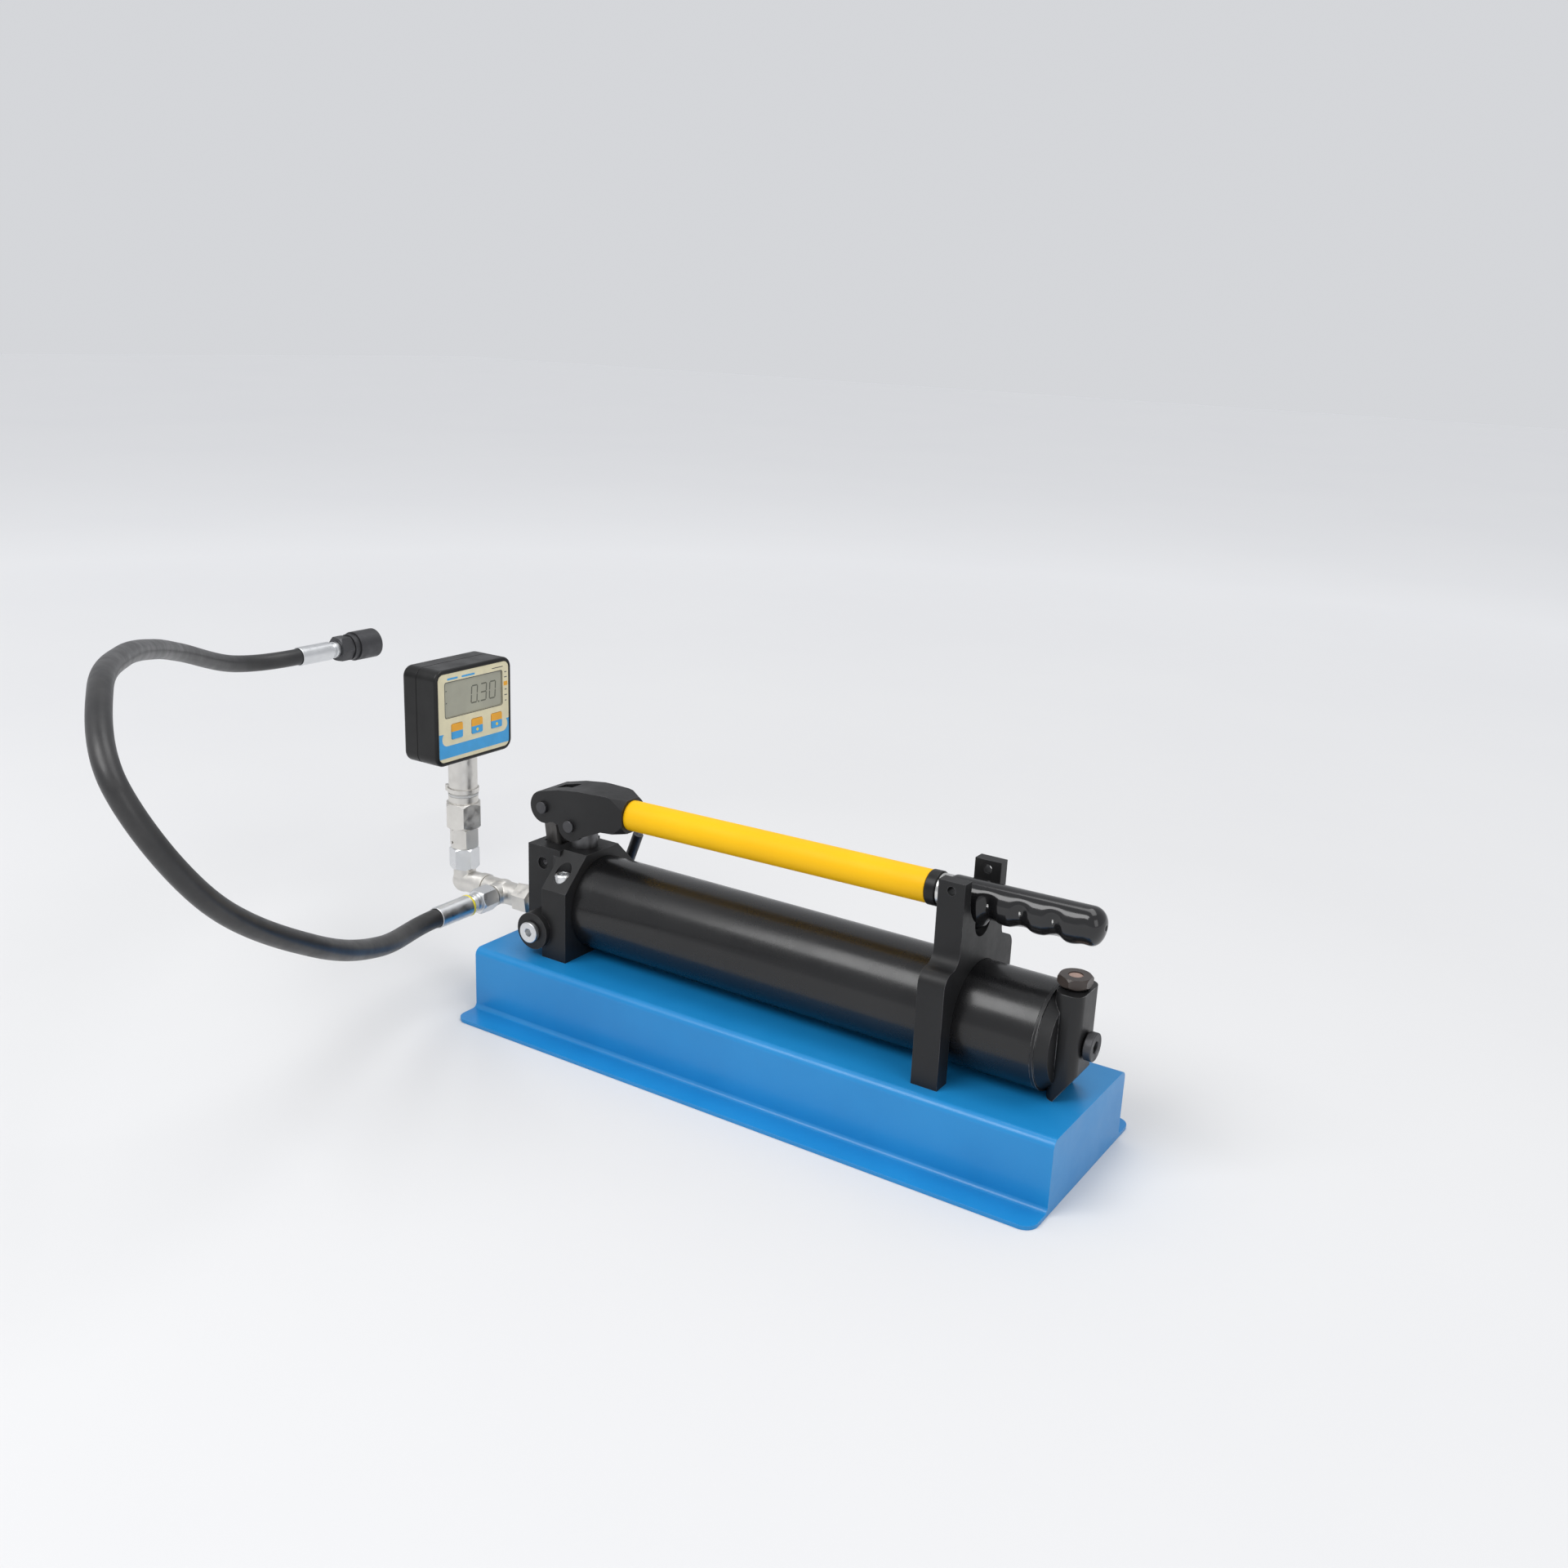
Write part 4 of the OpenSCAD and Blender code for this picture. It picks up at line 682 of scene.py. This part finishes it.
# Plain dark marks on the face: place from its left and top edge as parts of its size, then mm sizes
FACE_MARKS = [(0.958, 0.125, 2.6, 0.8), (0.958, 0.185, 3.2, 0.8), (0.958, 0.330, 2.4, 0.8),
              (0.958, 0.395, 3.2, 0.8), (0.958, 0.460, 1.8, 0.8), (0.84, 0.055, 13.0, 0.7)]
FACE_STRIPES = [(0.20, 0.063, 12.0, 1.6), (0.42, 0.063, 15.0, 1.6)]
FACE_BLOCK = (0.957, 0.26, 4.6, 3.6)


def build_face():
    """The printed face: cream field, blue foot with a rounded bay in it, window frame and plain marks."""
    face_lo, face_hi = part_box("gauge_faceplate")
    centre = ((face_lo[1] + face_hi[1]) / 2, (face_lo[2] + face_hi[2]) / 2)
    width, height = face_hi[1] - face_lo[1] - 0.3 * MM, face_hi[2] - face_lo[2] - 0.3 * MM
    front = face_hi[0]
    outline = rounded_outline(width, height, 5.6 * MM)
    window = grown_box("display_panel", -0.6 * MM, 1.8 * MM, centre)
    frame_line = grown_box("display_panel", 0.6 * MM, 2.2 * MM, centre)
    keys = [grown_box(name, 0.3 * MM, 1.4 * MM, centre, 5)
            for name in ("key_left", "key_middle", "key_right")]
    field = plate("face_film", [outline, window, *keys], front - 0.4 * MM, front,
                  MATS["faceplate_film"], "pump_body", centre)
    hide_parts("gauge_faceplate")

    def printed(name, loops, material):
        plate(name, loops, front, front + INK, material, "pump_body", centre)

    def printed_bar(name, bar, corner, steps, material):
        u, v, bar_w, bar_h = bar
        shape = rounded_outline(bar_w * MM, bar_h * MM, corner, steps)
        printed(name, [moved(shape, (u - 0.5) * width, (0.5 - v) * height)], material)

    printed("face_window_frame", [frame_line, window], FILM_DARK)
    foot_top, foot_low = height * (0.5 - 0.672), height * (0.5 - 0.955)
    bay = rounded_outline(width * 0.935, height * 0.165, height * 0.08)
    bay = moved(bay, width * 0.01, height * (0.5 - 0.735))
    printed("face_foot", [foot_outline(outline, bay, foot_low, foot_top)], FILM_BLUE)
    for i, bar in enumerate(FACE_MARKS):
        printed_bar(f"face_mark_{i}", bar, 0.3 * MM, 3, FILM_DARK)
    for i, bar in enumerate(FACE_STRIPES):
        printed_bar(f"face_stripe_{i}", bar, 0.7 * MM, 4, FILM_BLUE)
    printed_bar("face_mark_orange", FACE_BLOCK, 0.5 * MM, 4, FILM_ORANGE)
    lcd = mid("display_panel")
    build_display(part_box("display_panel")[1][0], (lcd.y, lcd.z))


def build_keys():
    """Each key is an orange tab over a blue one; two of them carry a yellow dot."""
    for name, dotted in (("key_left", False), ("key_middle", True), ("key_right", True)):
        lo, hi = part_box(name)
        centre = ((lo[1] + hi[1]) / 2, (lo[2] + hi[2]) / 2)
        width, height = hi[1] - lo[1] - 0.2 * MM, hi[2] - lo[2] - 0.2 * MM
        back, front = hi[0] - 1.2 * MM, hi[0] - 0.35 * MM
        outline = rounded_outline(width, height, 1.3 * MM, 6)
        upper = [p for p in outline if p[1] >= 0] + [(-width / 2, 0), (width / 2, 0)]
        lower = [p for p in outline if p[1] < 0] + [(width / 2, 0), (-width / 2, 0)]
        tab = plate(f"{name}_orange", [upper], back, front, FILM_ORANGE, name, centre)
        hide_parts(name)
        plate(f"{name}_blue", [lower], back, front, FILM_BLUE, name, centre)
        if dotted:
            dot = moved(rounded_outline(2.6 * MM, 2.6 * MM, 1.29 * MM, 6), 0, -height / 4)
            plate(f"{name}_dot", [dot], front, front + 0.05 * MM, FILM_YELLOW, name, centre)


build_hose()
build_grip()
build_band()
build_case()
build_face()
build_keys()

# ---------- floor, light and camera ----------

floor_mesh = bpy.data.meshes.new("floor")
floor_bm = bmesh.new()
bmesh.ops.create_grid(floor_bm, x_segments=2, y_segments=2, size=12.0)
floor_bm.to_mesh(floor_mesh)
floor_bm.free()
floor = bpy.data.objects.new("floor", floor_mesh)
floor_mesh.materials.append(floor_paint())
bpy.context.scene.collection.objects.link(floor)


def area_light(name, where, target, size, power, colour=(1, 1, 1)):
    data = bpy.data.lights.new(name, "AREA")
    data.shape = "RECTANGLE"
    data.size, data.size_y = size
    data.energy = power
    data.color = colour
    lamp = bpy.data.objects.new(name, data)
    lamp.location = where
    lamp.rotation_mode = "QUATERNION"
    lamp.rotation_quaternion = (Vector(target) - Vector(where)).to_track_quat("-Z", "Y")
    bpy.context.scene.collection.objects.link(lamp)


def light_up():
    """Soft room light all round; the camera sees the sky in the far floor's tone, so no horizon shows."""
    world = bpy.data.worlds.new("studio")
    world.use_nodes = True
    tree = world.node_tree
    background = tree.nodes["Background"]
    path = tree.nodes.new("ShaderNodeLightPath")
    mix = tree.nodes.new("ShaderNodeMix")
    mix.data_type = "RGBA"
    colours = [socket for socket in mix.inputs if socket.type == "RGBA"]
    colours[0].default_value = (*SKY, 1.0)
    backdrop = FLOOR_TONE + FAR_GLOW / SKY_STRENGTH
    colours[1].default_value = (*(c * backdrop for c in SKY), 1.0)
    tree.links.new(path.outputs["Is Camera Ray"], mix.inputs["Factor"])
    tree.links.new([socket for socket in mix.outputs if socket.type == "RGBA"][0],
                   background.inputs["Color"])
    background.inputs["Strength"].default_value = SKY_STRENGTH
    bpy.context.scene.world = world
    middle = (0, 0, 0.08)
    area_light("key", (-0.7, -1.6, 2.2), middle, (1.6, 1.2), 33)
    area_light("top", (0.3, 0.5, 2.4), middle, (2.2, 1.2), 20)
    area_light("fill", (2.2, -0.9, 1.0), middle, (1.2, 1.4), 8)


CAMERA_TURN = (32.31, 16.91, 2.47)           # round Z, upwards and rolled, in degrees
CAMERA_PLACE = Vector((558.94, -893.58, 546.47)) * MM
CAMERA_LENS = 35.146


def aim_camera():
    azimuth, elevation, roll = (math.radians(a) for a in CAMERA_TURN)
    back = Vector((math.sin(azimuth) * math.cos(elevation), -math.cos(azimuth) * math.cos(elevation),
                   math.sin(elevation)))
    right = Vector((0, 0, 1)).cross(back).normalized()
    up = back.cross(right)
    turned_right = right * math.cos(roll) + up * math.sin(roll)
    turned_up = up * math.cos(roll) - right * math.sin(roll)
    data = bpy.data.cameras.new("camera")
    data.sensor_width = 36.0
    data.lens = CAMERA_LENS
    camera = bpy.data.objects.new("camera", data)
    camera.matrix_world = Matrix((
        (turned_right.x, turned_up.x, back.x, CAMERA_PLACE.x),
        (turned_right.y, turned_up.y, back.y, CAMERA_PLACE.y),
        (turned_right.z, turned_up.z, back.z, CAMERA_PLACE.z),
        (0, 0, 0, 1)))
    bpy.context.scene.collection.objects.link(camera)
    bpy.context.scene.camera = camera


light_up()
aim_camera()
bpy.context.scene.view_settings.view_transform = "Standard"
